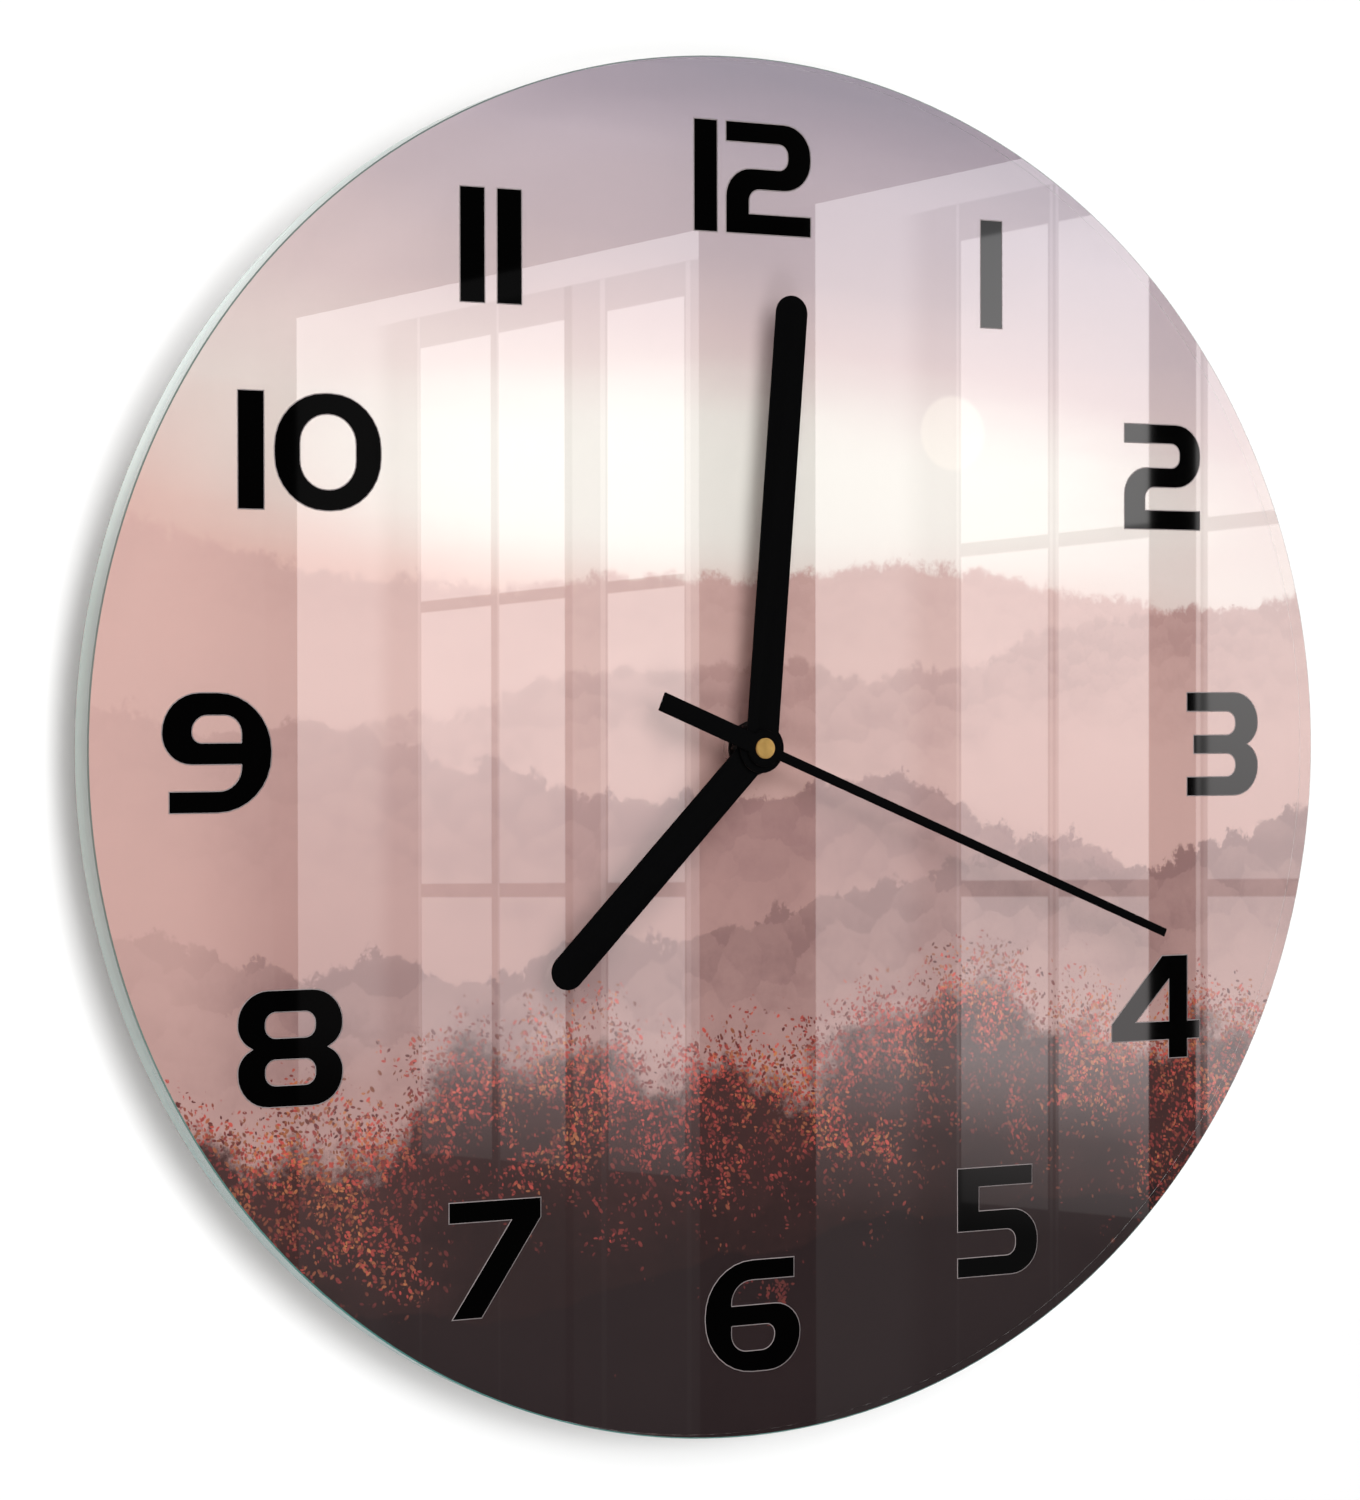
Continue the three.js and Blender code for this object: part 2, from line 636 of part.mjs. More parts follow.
function rearCover() {
  const beyond = caseSide + overrun;
  const recessTop = plateTop - rearWall;
  const recess = block(-beyond, beyond, chamberFloor, recessTop, caseRear - overrun, recessFloor);
  const coilRoom = block(
    -chamberSide, chamberSide, plateTop, chamberTop, caseRear + rearWall, rearWallIn + seat);
  let shell = plate(caseOutline, caseRear, parting, 4)
    .subtract(recess)
    .subtract(chamber(rearWallIn, parting + overrun))
    .subtract(coilRoom)
    .subtract(bay(caseRear - overrun, parting + overrun))
    .subtract(notches(rearWallIn, parting + overrun));
  for (const post of posts) {
    const column = rod(postDiameter, rearWallIn - seat, middlePlateRear - seat, 12);
    shell = shell.add(column.translate([post.x, post.y, 0]));
  }
  for (const place of hookPlaces) {
    const groove = atSide(
      place, hookSheet + slip, overrun, hookHalf + slip, hookTip - slip, parting + overrun);
    shell = shell.subtract(groove).add(snapCatch(place));
  }
  const thumbNotch = rod(2 * notchRadius, -overrun, sideWall + overrun, 32)
    .rotate([90, 0, 0])
    .translate([0, bayBottom, caseRear + notchDepth - notchRadius]);
  shell = shell.subtract(thumbNotch);
  const pivot = (diameter) =>
    rod(diameter + 2 * bearing, rearWallIn - pivotDepth, rearWallIn + overrun, 12);
  for (const place of [new THREE.Vector2(), thirdPlace, fifthPlace, rotorPlace]) {
    shell = shell.subtract(pivot(arborDiameter).translate([place.x, place.y, 0]));
  }
  const knobHole = rod(knobArborDiameter + 2 * bearing, caseRear, parting, 16);
  return shell.subtract(knobHole.translate([minutePlace.x, minutePlace.y, 0]));
}
piece("movement_front_case", frontCase(), finishes.blackPlastic);
piece("movement_rear_cover", rearCover(), finishes.blackPlastic);

// Middle plate with the inner bearings
function middlePlate() {
  const outline = roundedRectangle(-plateSide, plateSide, plateBottom, plateTop, 1);
  const third = tipRadius(thirdPinionTeeth, centreModule) + run;
  outline.holes.push(circle(thirdPlace.x, thirdPlace.y, third));
  outline.holes.push(circle(0, 0, arborDiameter / 2 + bearing));
  for (const place of [fifthPlace, rotorPlace]) {
    outline.holes.push(circle(place.x, place.y, arborDiameter / 2 + bearing));
  }
  const knobArbor = knobArborDiameter / 2 + bearing;
  outline.holes.push(circle(minutePlace.x, minutePlace.y, knobArbor));
  return plate(outline, middlePlateRear, middlePlateFront, 6);
}
piece("middle_plate", middlePlate(), finishes.whitePlastic);

// Stepping motor
const statorRear = thirdWheelRear - run - statorThickness;
const statorFront = statorRear + statorThickness;
const coilZ = (statorRear + statorFront) / 2;
const coreEnd = bobbinLength / 2 + coreBare + coreWidth;
const coreHalf = coreEnd + statorArm / 2;
const coilX = plateSide - postInset - postDiameter / 2 - statorClear - coreHalf;
function stator() {
  const inner = magnetDiameter / 2 + statorAirGap;
  const ring = statorOuter;
  const arm = (towards) => {
    const path = [rotorPlace.clone(), new THREE.Vector2(towards, rotorPlace.y + ring / 2)];
    path[0].x += Math.sign(towards - rotorPlace.x) * inner;
    path.push(new THREE.Vector2(towards, coilY + coreWidth / 2));
    return strip(path, statorArm, statorRear, statorFront);
  };
  const ringPlate = rod(2 * ring, statorRear, statorFront, 24);
  const notch = rod(statorAirGap * 2, statorRear - overrun, statorFront + overrun, 8);
  return ringPlate
    .translate([rotorPlace.x, rotorPlace.y, 0])
    .add(arm(coilX - coreEnd))
    .add(arm(coilX + coreEnd))
    .subtract(rod(2 * inner, statorRear - overrun, statorFront + overrun, 24)
      .translate([rotorPlace.x, rotorPlace.y, 0]))
    .subtract(notch.translate([rotorPlace.x, rotorPlace.y + inner, 0]))
    .subtract(notch.translate([rotorPlace.x, rotorPlace.y - inner, 0]));
}
piece("stator", stator(), finishes.steel);
const coreRear = statorFront + seat;
const coreFront = coreRear + statorThickness;
const coilCore = block(
  coilX - coreHalf, coilX + coreHalf, coilY - coreWidth / 2, coilY + coreWidth / 2,
  coreRear, coreFront);
piece("coil_core", coilCore, finishes.steel);
const coilMiddle = (coreRear + coreFront) / 2;
function coilBobbin() {
  const [half, flange] = [bobbinLength / 2, bobbinFlange / 2];
  const tubeY = coreWidth / 2 + slip + bobbinWall;
  const tubeZ = statorThickness / 2 + slip + bobbinWall;
  const barrel = block(coilX - half, coilX + half, coilY - tubeY, coilY + tubeY,
    coilMiddle - tubeZ, coilMiddle + tubeZ);
  const end = (x) => block(x, x + bobbinWall, coilY - flange, coilY + flange,
    coilMiddle - flange, coilMiddle + flange);
  const way = block(coilX - half - overrun, coilX + half + overrun,
    coilY - coreWidth / 2 - slip, coilY + coreWidth / 2 + slip,
    coreRear - slip, coreFront + slip);
  return barrel
    .add(end(coilX - half))
    .add(end(coilX + half - bobbinWall))
    .subtract(way);
}
piece("coil_bobbin", coilBobbin(), finishes.whitePlastic);
function coilWire() {
  const y = coreWidth / 2 + slip + bobbinWall + seat;
  const z = statorThickness / 2 + slip + bobbinWall + seat;
  const half = bobbinLength / 2 - bobbinWall - seat;
  const section = new THREE.Shape();
  for (const [sy, sz, start] of [[1, 1, 0], [-1, 1, 0.5], [-1, -1, 1], [1, -1, 1.5]]) {
    const from = start * Math.PI;
    section.absarc(sy * y, sz * z, coilWinding, from, from + Math.PI / 2);
  }
  const way = new THREE.Path();
  way.moveTo(-y, -z).lineTo(-y, z).lineTo(y, z).lineTo(y, -z);
  section.holes.push(way);
  const wound = new THREE.ExtrudeGeometry(section, {
    depth: 2 * half,
    bevelEnabled: false,
    curveSegments: 5,
  });
  wound.rotateX(Math.PI / 2).rotateZ(Math.PI / 2);
  return solid(wound.translate(coilX - half, coilY, coilMiddle));
}
piece("coil_winding", coilWire(), finishes.copper);

// Rotor
const fifthPhase = 0;
const rotorPinionRear = fifthWheelRear - pinionExtra;
const magnetRear = coilZ - magnetHeight / 2;
const rotorPhase = meshPhase(fifthTeeth, fifthPhase, rotorTeeth, rotorAngle);
const rotorPinion = gear(rotorTeeth, rotorModule, rotorPinionRear, magnetRear, rotorPhase)
  .add(rod(arborDiameter, rearWallIn - pivotDepth + seat, middlePlateFront - seat, 12));
piece("rotor_pinion", rotorPinion, finishes.whitePlastic, rotorPlace);
const rotorMagnet = tube(
  magnetDiameter, arborDiameter + 2 * slip, magnetRear + seat, magnetRear + magnetHeight, 24);
piece("rotor_magnet", rotorMagnet, finishes.magnet, rotorPlace);

// Fifth wheel
const secondPhase = 0;
const fifthPinionPhase = meshPhase(secondTeeth, secondPhase, fifthPinionTeeth, fifthAngle);
const fifthPinionFront = secondWheelFront + pinionExtra;
const fifthWheel = gear(fifthTeeth, rotorModule, fifthWheelRear, fifthWheelFront, fifthPhase)
  .add(gear(fifthPinionTeeth, fifthModule, fifthWheelRear, fifthPinionFront, fifthPinionPhase))
  .add(rod(arborDiameter, rearWallIn - pivotDepth + seat, middlePlateFront - seat, 12));
piece("fifth_wheel", fifthWheel, finishes.whitePlastic, fifthPlace);

// Second wheel on the arbor that carries the second hand
const secondPinionPhase = 0;
const secondArborFront = secondHandFront;
const secondWheel = gear(secondTeeth, fifthModule, secondWheelRear, secondWheelFront, secondPhase)
  .add(gear(secondPinionTeeth, thirdModule, secondWheelRear, secondPinionFront, secondPinionPhase))
  .add(rod(arborDiameter, rearWallIn - pivotDepth + seat, secondArborFront, 12));
piece("second_wheel", secondWheel, finishes.whitePlastic);

// Third wheel
const thirdPinionPhase = 0;
const thirdPhase = meshPhase(secondPinionTeeth, secondPinionPhase, thirdTeeth, thirdAngle);
const thirdPinionFront = centreWheelFront + pinionExtra;
const thirdWheel = gear(thirdTeeth, thirdModule, thirdWheelRear, thirdWheelFront, thirdPhase)
  .add(gear(thirdPinionTeeth, centreModule, thirdWheelRear, thirdPinionFront, thirdPinionPhase))
  .add(rod(arborDiameter, rearWallIn - pivotDepth + seat, frontWallIn + pivotDepth - seat, 12));
piece("third_wheel", thirdWheel, finishes.whitePlastic, thirdPlace);

// Centre wheel, driven by the third pinion and clamped to the minute arbor by a spring
const centrePhase = meshPhase(
  thirdPinionTeeth, thirdPinionPhase, centreTeeth, thirdAngle + 180);
const centreWheel = gear(
  centreTeeth, centreModule, centreWheelRear, centreWheelFront, centrePhase,
  minuteTubeDiameter + 2 * bearing);
piece("centre_wheel", centreWheel, finishes.whitePlastic);
function clutchSpring() {
  const [inner, outer] = [minuteTubeDiameter / 2 + bearing, clutchSpringDiameter / 2];
  const top = centreWheelRear - seat;
  return turned([
    [inner, springRear],
    [outer, top - clutchSpringSheet],
    [outer, top],
    [inner, springRear + clutchSpringSheet],
  ], 24);
}
piece("clutch_spring", clutchSpring(), finishes.steel);

// Minute arbor with its cannon pinion
const cannonPhase = 0;
const minuteTubeFront = minuteHandFront + tubeProud;
const cannonFront = minuteWheelFront + pinionExtra;
function minuteArbor() {
  const r = minuteTubeDiameter / 2;
  const flat = minuteTubeFlats / 2;
  const flatRear = minuteHandRear - tubeProud;
  const tip = minuteTubeFront + overrun;
  const side = block(flat, r + overrun, -r - overrun, r + overrun, flatRear, tip);
  const collar = tube(collarDiameter, minuteTubeBore, collarRear, collarRear + collarThickness, 16);
  return gear(cannonTeeth, motionModule, cannonRear, cannonFront, cannonPhase)
    .add(rod(minuteTubeDiameter, collarRear, minuteTubeFront, 24))
    .subtract(side)
    .subtract(side.mirror([1, 0, 0]))
    .subtract(rod(minuteTubeBore, collarRear - overrun, tip, 16))
    .add(collar);
}
piece("minute_arbor", minuteArbor(), finishes.brass, new THREE.Vector2(), minuteAngle);

// Minute wheel, which the setting knob turns
const minutePinionPhase = 0;
const minutePhase = meshPhase(
  cannonTeeth, cannonPhase - THREE.MathUtils.degToRad(minuteAngle), minuteTeeth, minuteWheelAngle);
const minutePinionFront = hourWheelFront + run / 2;
const knobRear = recessFloor - run - knobHeight;
const minuteWheel = gear(minuteTeeth, motionModule, minuteWheelRear, minuteWheelFront, minutePhase)
  .add(gear(minutePinionTeeth, hourModule, minuteWheelRear, minutePinionFront, minutePinionPhase))
  .add(rod(arborDiameter, minuteWheelRear, frontWallIn + pivotDepth - seat, 12))
  .add(rod(knobArborDiameter, knobRear + knobHeight / 2, minuteWheelFront, 12));
piece("minute_wheel", minuteWheel, finishes.whitePlastic, minutePlace);
function settingKnob() {
  const points = [];
  const outer = knobDiameter / 2;
  for (let i = 0; i < 2 * knobFlutes; i++) {
    const r = i % 2 ? outer : outer - knobFluteDepth;
    points.push(polar(r, (180 / knobFlutes) * i));
  }
  const bore = rod(
    knobArborDiameter + 2 * slip, knobRear + knobHeight / 2 - seat, knobRear + knobHeight + overrun, 12);
  const dish = rod(knobDiameter - 2 * knobRim, knobRear - overrun, knobRear + knobHeight / 4, 24);
  const grip = block(knobRim - outer, outer - knobRim, -knobGrip / 2, knobGrip / 2,
    knobRear, knobRear + knobHeight / 2);
  return plate(new THREE.Shape(points), knobRear, knobRear + knobHeight)
    .subtract(dish)
    .add(grip)
    .subtract(bore);
}
piece("setting_knob", settingKnob(), finishes.blackPlastic, minutePlace);

// Hour wheel and its tube
const hourTubeFront = hourHandFront + tubeProud;
const hourTubeBore = minuteTubeDiameter + 2 * bearing;
const hourPhase = meshPhase(
  minutePinionTeeth, minutePinionPhase, hourTeeth, minuteWheelAngle + 180);
const hourWheel = gear(hourTeeth, hourModule, hourWheelRear, hourWheelFront, hourPhase)
  .add(rod(hourTubeDiameter, hourWheelRear, hourTubeFront, 24))
  .subtract(rod(hourTubeBore, hourWheelRear - overrun, hourTubeFront + overrun, 24));
piece("hour_wheel", hourWheel, finishes.whitePlastic);

// Hands, drawn pointing at twelve and turned to the time shown
function barHand(length, hole, z0, z1) {
  const half = handWidth / 2;
  const bar = new THREE.Shape();
  bar.moveTo(-half, 0);
  bar.lineTo(half, 0);
  bar.absarc(0, length - half, half, 0, Math.PI);
  return plate(bar, z0, z1, 10)
    .add(rod(hubDiameter, z0, z1, 28))
    .subtract(hole);
}
const hourHole = rod(hourTubeDiameter + 2 * slip, hourHandRear - overrun, hourHandFront + overrun, 24);
const hourHand = barHand(hourLength, hourHole, hourHandRear, hourHandFront);
piece("hour_hand", hourHand, finishes.blackHand, new THREE.Vector2(), hourAngle);
const flatsHalf = minuteTubeFlats / 2 + slip;
const tubeHalf = minuteTubeDiameter / 2 + slip;
const minuteHole = rod(2 * tubeHalf, minuteHandRear - overrun, minuteHandFront + overrun, 24)
  .intersect(block(-flatsHalf, flatsHalf, -tubeHalf, tubeHalf,
    minuteHandRear - overrun, minuteHandFront + overrun));
const minuteHand = barHand(minuteLength, minuteHole, minuteHandRear, minuteHandFront);
piece("minute_hand", minuteHand, finishes.blackHand, new THREE.Vector2(), minuteAngle);
function secondHand() {
  const [root, tip, tail] = [secondRootWidth / 2, secondTipWidth / 2, secondTailWidth / 2];
  const needle = new THREE.Shape();
  needle.moveTo(-tail, -secondTail).lineTo(tail, -secondTail).lineTo(tail, 0);
  needle.lineTo(root, 0).lineTo(tip, secondLength).lineTo(-tip, secondLength);
  needle.lineTo(-root, 0).lineTo(-tail, 0);
  return plate(needle, secondHandRear, secondHandFront)
    .add(rod(secondHubDiameter, secondHandRear, secondHandFront, 24))
    .subtract(rod(colletTube + 2 * slip, secondHandRear - overrun, secondHandFront + overrun, 16));
}
piece("second_hand", secondHand(), finishes.blackHand, new THREE.Vector2(), secondAngle);
function secondCollet() {
  const [head, shank, bore] = [colletHead / 2, colletTube / 2, arborDiameter / 2 + slip];
  const headRear = secondHandFront + seat;
  const headFront = headRear + colletHeadHeight;
  const blind = secondArborFront + seat;
  const bevel = colletHeadHeight / 3;
  return turned([
    [0, blind],
    [bore, blind],
    [bore, secondHandFront - colletLength],
    [shank, secondHandFront - colletLength],
    [shank, headRear],
    [head, headRear],
    [head, headFront - bevel],
    [head - bevel, headFront],
    [0, headFront],
  ], 20);
}
piece("second_hand_collet", secondCollet(), finishes.brass);

// Battery and its contacts
function batteryCell() {
  const r = batteryDiameter / 2;
  const rim = 0.6;
  const cell = turned([
    [0, batteryLeft],
    [r - rim, batteryLeft],
    [r, batteryLeft + rim],
    [r, batteryRight - rim],
    [r - rim, batteryRight],
    [nubDiameter / 2, batteryRight],
    [nubDiameter / 2, batteryRight + nubLength],
    [0, batteryRight + nubLength],
  ]);
  return cell.rotate([0, 90, 0]).translate([0, batteryY, batteryZ]);
}
piece("battery_cell", batteryCell(), finishes.cell);
const stripInset = contactSheet / 2 + bayEndPlay;
const footY = chamberFloor + bearing + contactSheet / 2;
const boardLeft = -plateSide;
const boardRight = boardLeft + boardWidth;
function positiveContact() {
  const x = chamberSide - stripInset;
  const path = [
    new THREE.Vector2(x, batteryY - batteryDiameter / 4),
    new THREE.Vector2(x, footY),
    new THREE.Vector2(boardRight - contactLap, footY),
  ];
  return strip(path, contactSheet, contactRear, contactFront);
}
piece("positive_contact", positiveContact(), finishes.steel);
function negativeContact() {
  const x = -(chamberSide - stripInset);
  const end = batteryLeft - bayEndPlay - contactSheet / 2;
  const reach = batteryDiameter / 2 - innerCorner;
  const bow = new THREE.SplineCurve([
    new THREE.Vector2(x, batteryY - reach),
    new THREE.Vector2(x + (end - x) / 2, batteryY - reach / 2),
    new THREE.Vector2(end, batteryY),
    new THREE.Vector2(x + (end - x) / 2, batteryY + reach / 2),
    new THREE.Vector2(x, batteryY + reach),
  ]);
  const path = bow.getPoints(12);
  path.push(new THREE.Vector2(x, plateBottom + postDiameter));
  return strip(path, contactSheet, contactRear, contactFront);
}
piece("negative_contact", negativeContact(), finishes.steel);

// Circuit board on the front of the middle plate, with its chip and crystal
const boardRear = middlePlateFront + seat;
const boardFront = boardRear + boardThickness;
function circuitBoard() {
  const outline = roundedRectangle(boardLeft, boardRight, plateBottom, plateTop, 0.5);
  for (const post of posts.filter((place) => place.x < 0)) {
    outline.holes.push(circle(post.x, post.y, postDiameter / 2 + bearing));
  }
  return plate(outline, boardRear, boardFront, 4);
}
piece("circuit_board", circuitBoard(), finishes.board);
const boardMiddle = (boardLeft + boardRight) / 2;
const chipRear = boardFront + seat;
const chipR = chipDiameter / 2;
const chip = turned([
  [0, chipRear],
  [chipR, chipRear],
  [chipR * 0.9, chipRear + chipHeight * 0.5],
  [chipR * 0.55, chipRear + chipHeight * 0.9],
  [0, chipRear + chipHeight],
], 16);
const chipPlace = new THREE.Vector2(boardMiddle, plateBottom + (plateTop - plateBottom) / 3);
piece("control_chip", chip, finishes.blackPlastic, chipPlace);
const crystalCan = rod(crystalDiameter, -crystalLength / 2, crystalLength / 2, 12)
  .rotate([0, 90, 0])
  .translate([0, 0, boardFront + seat + crystalDiameter / 2]);
const crystalPlace = new THREE.Vector2(boardMiddle, plateTop - (plateTop - plateBottom) / 4);
piece("quartz_crystal", crystalCan, finishes.steel, crystalPlace);

const glassWallClock = new THREE.Group();
glassWallClock.add(clock);

export default glassWallClock;
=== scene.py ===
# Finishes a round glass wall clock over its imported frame: printed glass, numerals, hands,
# movement and hanger, on a white wall in soft daylight.
import json
import math

import bmesh
import bpy
from mathutils import Matrix, Vector

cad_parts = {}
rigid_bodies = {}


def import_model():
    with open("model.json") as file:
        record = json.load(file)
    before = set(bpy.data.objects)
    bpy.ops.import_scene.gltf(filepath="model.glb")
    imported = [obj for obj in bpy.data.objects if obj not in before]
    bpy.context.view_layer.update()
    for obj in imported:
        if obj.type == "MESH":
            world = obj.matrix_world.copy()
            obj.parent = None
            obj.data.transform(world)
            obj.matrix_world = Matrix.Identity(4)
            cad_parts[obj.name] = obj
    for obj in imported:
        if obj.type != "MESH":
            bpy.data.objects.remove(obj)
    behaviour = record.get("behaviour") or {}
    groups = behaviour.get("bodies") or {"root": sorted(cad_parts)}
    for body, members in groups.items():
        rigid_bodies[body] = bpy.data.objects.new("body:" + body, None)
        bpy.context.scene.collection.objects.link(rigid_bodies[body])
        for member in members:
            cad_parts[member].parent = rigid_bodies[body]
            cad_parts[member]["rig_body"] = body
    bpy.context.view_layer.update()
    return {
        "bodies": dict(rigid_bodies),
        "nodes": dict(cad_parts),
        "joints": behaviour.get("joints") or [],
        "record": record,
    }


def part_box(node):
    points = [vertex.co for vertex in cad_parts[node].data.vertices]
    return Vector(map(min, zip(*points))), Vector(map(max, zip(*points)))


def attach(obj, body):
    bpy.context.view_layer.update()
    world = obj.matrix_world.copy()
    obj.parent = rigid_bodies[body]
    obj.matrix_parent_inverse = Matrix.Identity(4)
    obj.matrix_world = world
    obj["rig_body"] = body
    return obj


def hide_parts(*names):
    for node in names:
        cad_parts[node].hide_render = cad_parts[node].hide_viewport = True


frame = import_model()
nodes = frame["nodes"]
print("frame loaded:", len(nodes), "nodes")

mm = 0.001
glassLow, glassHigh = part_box("glass_disc")
shaftHeight = (glassLow.z + glassHigh.z) / 2
dialRadius = (glassHigh.x - glassLow.x) / 2
glassFront = glassLow.y
glassRear = glassHigh.y
dialCentre = Vector((0, glassFront, shaftHeight))


def wayTo(azimuth, elevation):
    # The direction from the dial to whatever stands at these angles, in degrees
    azimuth, elevation = math.radians(azimuth), math.radians(elevation)
    return Vector((
        math.sin(azimuth) * math.cos(elevation),
        -math.cos(azimuth) * math.cos(elevation),
        math.sin(elevation),
    ))


# Camera

cameraView = {
    "azimuth": -28.174,
    "elevation": 0.646,
    "roll": -0.112,
    "distance": 0.82366,  # from the middle of the glass's front face
    "sensor": 36,
    "lens": 90.844,
    "shift": (-0.04813, -0.00126),
    "clip": (0.02, 50),
}


def addCamera():
    azimuth, roll = math.radians(cameraView["azimuth"]), math.radians(cameraView["roll"])
    back = wayTo(cameraView["azimuth"], cameraView["elevation"])
    right = Vector((math.cos(azimuth), math.sin(azimuth), 0))
    up = back.cross(right)
    turn = Matrix((right, up, back)).transposed() @ Matrix.Rotation(roll, 3, "Z")
    data = bpy.data.cameras.new("photoCamera")
    data.sensor_width = cameraView["sensor"]
    data.lens = cameraView["lens"]
    data.shift_x, data.shift_y = cameraView["shift"]
    data.clip_start, data.clip_end = cameraView["clip"]
    camera = bpy.data.objects.new("photoCamera", data)
    place = dialCentre + back * cameraView["distance"]
    camera.matrix_world = Matrix.Translation(place) @ turn.to_4x4()
    bpy.context.scene.collection.objects.link(camera)
    bpy.context.scene.camera = camera


addCamera()
print("camera set")


# Shader maths: a Signal is a socket that takes part in Python expressions.

class Signal:
    def __init__(self, shader, socket):
        self.shader = shader
        self.socket = socket

    def __add__(self, other):
        return self.shader.calc("ADD", self, other)

    def __radd__(self, other):
        return self.shader.calc("ADD", other, self)

    def __sub__(self, other):
        return self.shader.calc("SUBTRACT", self, other)

    def __rsub__(self, other):
        return self.shader.calc("SUBTRACT", other, self)

    def __mul__(self, other):
        return self.shader.calc("MULTIPLY", self, other)

    def __rmul__(self, other):
        return self.shader.calc("MULTIPLY", other, self)

    def __truediv__(self, other):
        return self.shader.calc("DIVIDE", self, other)

    def __pow__(self, other):
        return self.shader.calc("POWER", self, other)


class Shader:
    def __init__(self, name, **constants):
        self.material = bpy.data.materials.new(name)
        self.material.use_nodes = True
        self.tree = self.material.node_tree
        self.surface = self.tree.nodes["Principled BSDF"]
        for socket, value in constants.items():
            self.feed(self.surface.inputs[socket], value)

    def feed(self, socket, value):
        if isinstance(value, Signal):
            self.tree.links.new(value.socket, socket)
        elif socket.type == "RGBA" and len(value) == 3:
            socket.default_value = (*value, 1)
        else:
            socket.default_value = value

    def node(self, kind, settings=None, inputs=None, output=0):
        made = self.tree.nodes.new("ShaderNode" + kind)
        for name, value in (settings or {}).items():
            if name == "stops":
                self.setStops(made.color_ramp, value)
            else:
                setattr(made, name, value)
        for name, value in (inputs or {}).items():
            self.feed(made.inputs[name], value)
        return Signal(self, made.outputs[output])

    def setStops(self, ramp, stops):
        while len(ramp.elements) < len(stops):
            ramp.elements.new(0.5)
        for element, (position, colour) in zip(ramp.elements, stops):
            element.position = position
            element.color = (*colour, 1)

    def calc(self, operation, *values):
        return self.node("Math", {"operation": operation}, dict(enumerate(values)))

    def mix(self, share, first, second):
        return self.node("Mix", {"data_type": "RGBA"}, {0: share, 6: first, 7: second}, output=2)

    def between(self, value, low, high):  # 0 at low, 1 at high, smooth on the way
        settings = {"interpolation_type": "SMOOTHSTEP"}
        return self.node("MapRange", settings, {"Value": value, "From Min": low, "From Max": high})

    def band(self, value, low, high, soft=0.001):  # 1 from low to high
        begun = self.between(value, low - soft, low + soft)
        return begun * self.between(value, high + soft, high - soft)

    def ramp(self, value, stops):
        return self.node("ValToRGB", {"stops": stops}, {"Fac": value})

    def point(self):
        return self.node("TexCoord", output="Object")

    def axes(self):
        point = self.point()
        return [self.node("SeparateXYZ", inputs={0: point}, output=axis) for axis in "XYZ"]

    def vector(self, x=0.0, y=0.0, z=0.0):
        return self.node("CombineXYZ", inputs={"X": x, "Y": y, "Z": z})

    def noise(self, vector, scale, detail=2.0, roughness=0.5):
        return self.node("TexNoise", inputs={
            "Vector": vector, "Scale": scale, "Detail": detail, "Roughness": roughness})

    def cells(self, vector, scale, output="Distance"):
        return self.node("TexVoronoi", inputs={"Vector": vector, "Scale": scale}, output=output)

    def leaf(self, vector, scale):
        # How far the nearest leaf's middle is, and three chance values of that leaf
        near = self.cells(vector, scale)
        chance = Signal(self, near.socket.node.outputs["Color"])
        return [near] + [self.node("SeparateColor", inputs={0: chance}, output=i) for i in range(3)]

    def crown(self, x, y, scale):
        # A round tree crown: how far its middle is, and 0 at its foot to 1 at its top
        near = self.cells(self.vector(x, y), scale)
        middle = Signal(self, near.socket.node.outputs["Position"])
        top = (y - self.node("SeparateXYZ", inputs={0: middle}, output="Y")) * scale
        return near, self.between(top, -0.45, 0.45)

    def use(self, **inputs):
        for name, value in inputs.items():
            self.feed(self.surface.inputs[name.replace("_", " ")], value)
        return self.material

    def bump(self, height, strength, distance=0.0002):
        return self.node("Bump", inputs={
            "Height": height, "Strength": strength, "Distance": distance}, output="Normal")


def sway(texture, reach):  # a texture's way above or below its middle
    return (texture - 0.5) * reach


def tone(red, green, blue):  # screen colour, 0 to 255, as scene light
    def light(value):
        share = value / 255
        return share / 12.92 if share <= 0.04045 else ((share + 0.055) / 1.055) ** 2.4

    return (light(red), light(green), light(blue))


# Building helpers

meshWork = {
    "weld": 1e-6,  # points nearer than this are one
    "flat": 1,  # degrees between faces that are joined into one
    "sharp": 35,  # degrees from which an edge is broken
    "segments": 2,
}


def finished(name, mesh, node, materials):
    # A piece that stands for a CAD node: it rides with the node's body, and the node is hidden.
    piece = bpy.data.objects.new(name, mesh)
    bpy.context.scene.collection.objects.link(piece)
    for material in materials:
        mesh.materials.append(material)
    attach(piece, nodes[node]["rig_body"])
    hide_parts(node)
    return piece


def meshOf(name, bm, smoothAngle=None):
    mesh = bpy.data.meshes.new(name)
    bm.to_mesh(mesh)
    bm.free()
    if smoothAngle:
        mesh.shade_smooth()
        mesh.set_sharp_from_angle(angle=math.radians(smoothAngle))
    return mesh


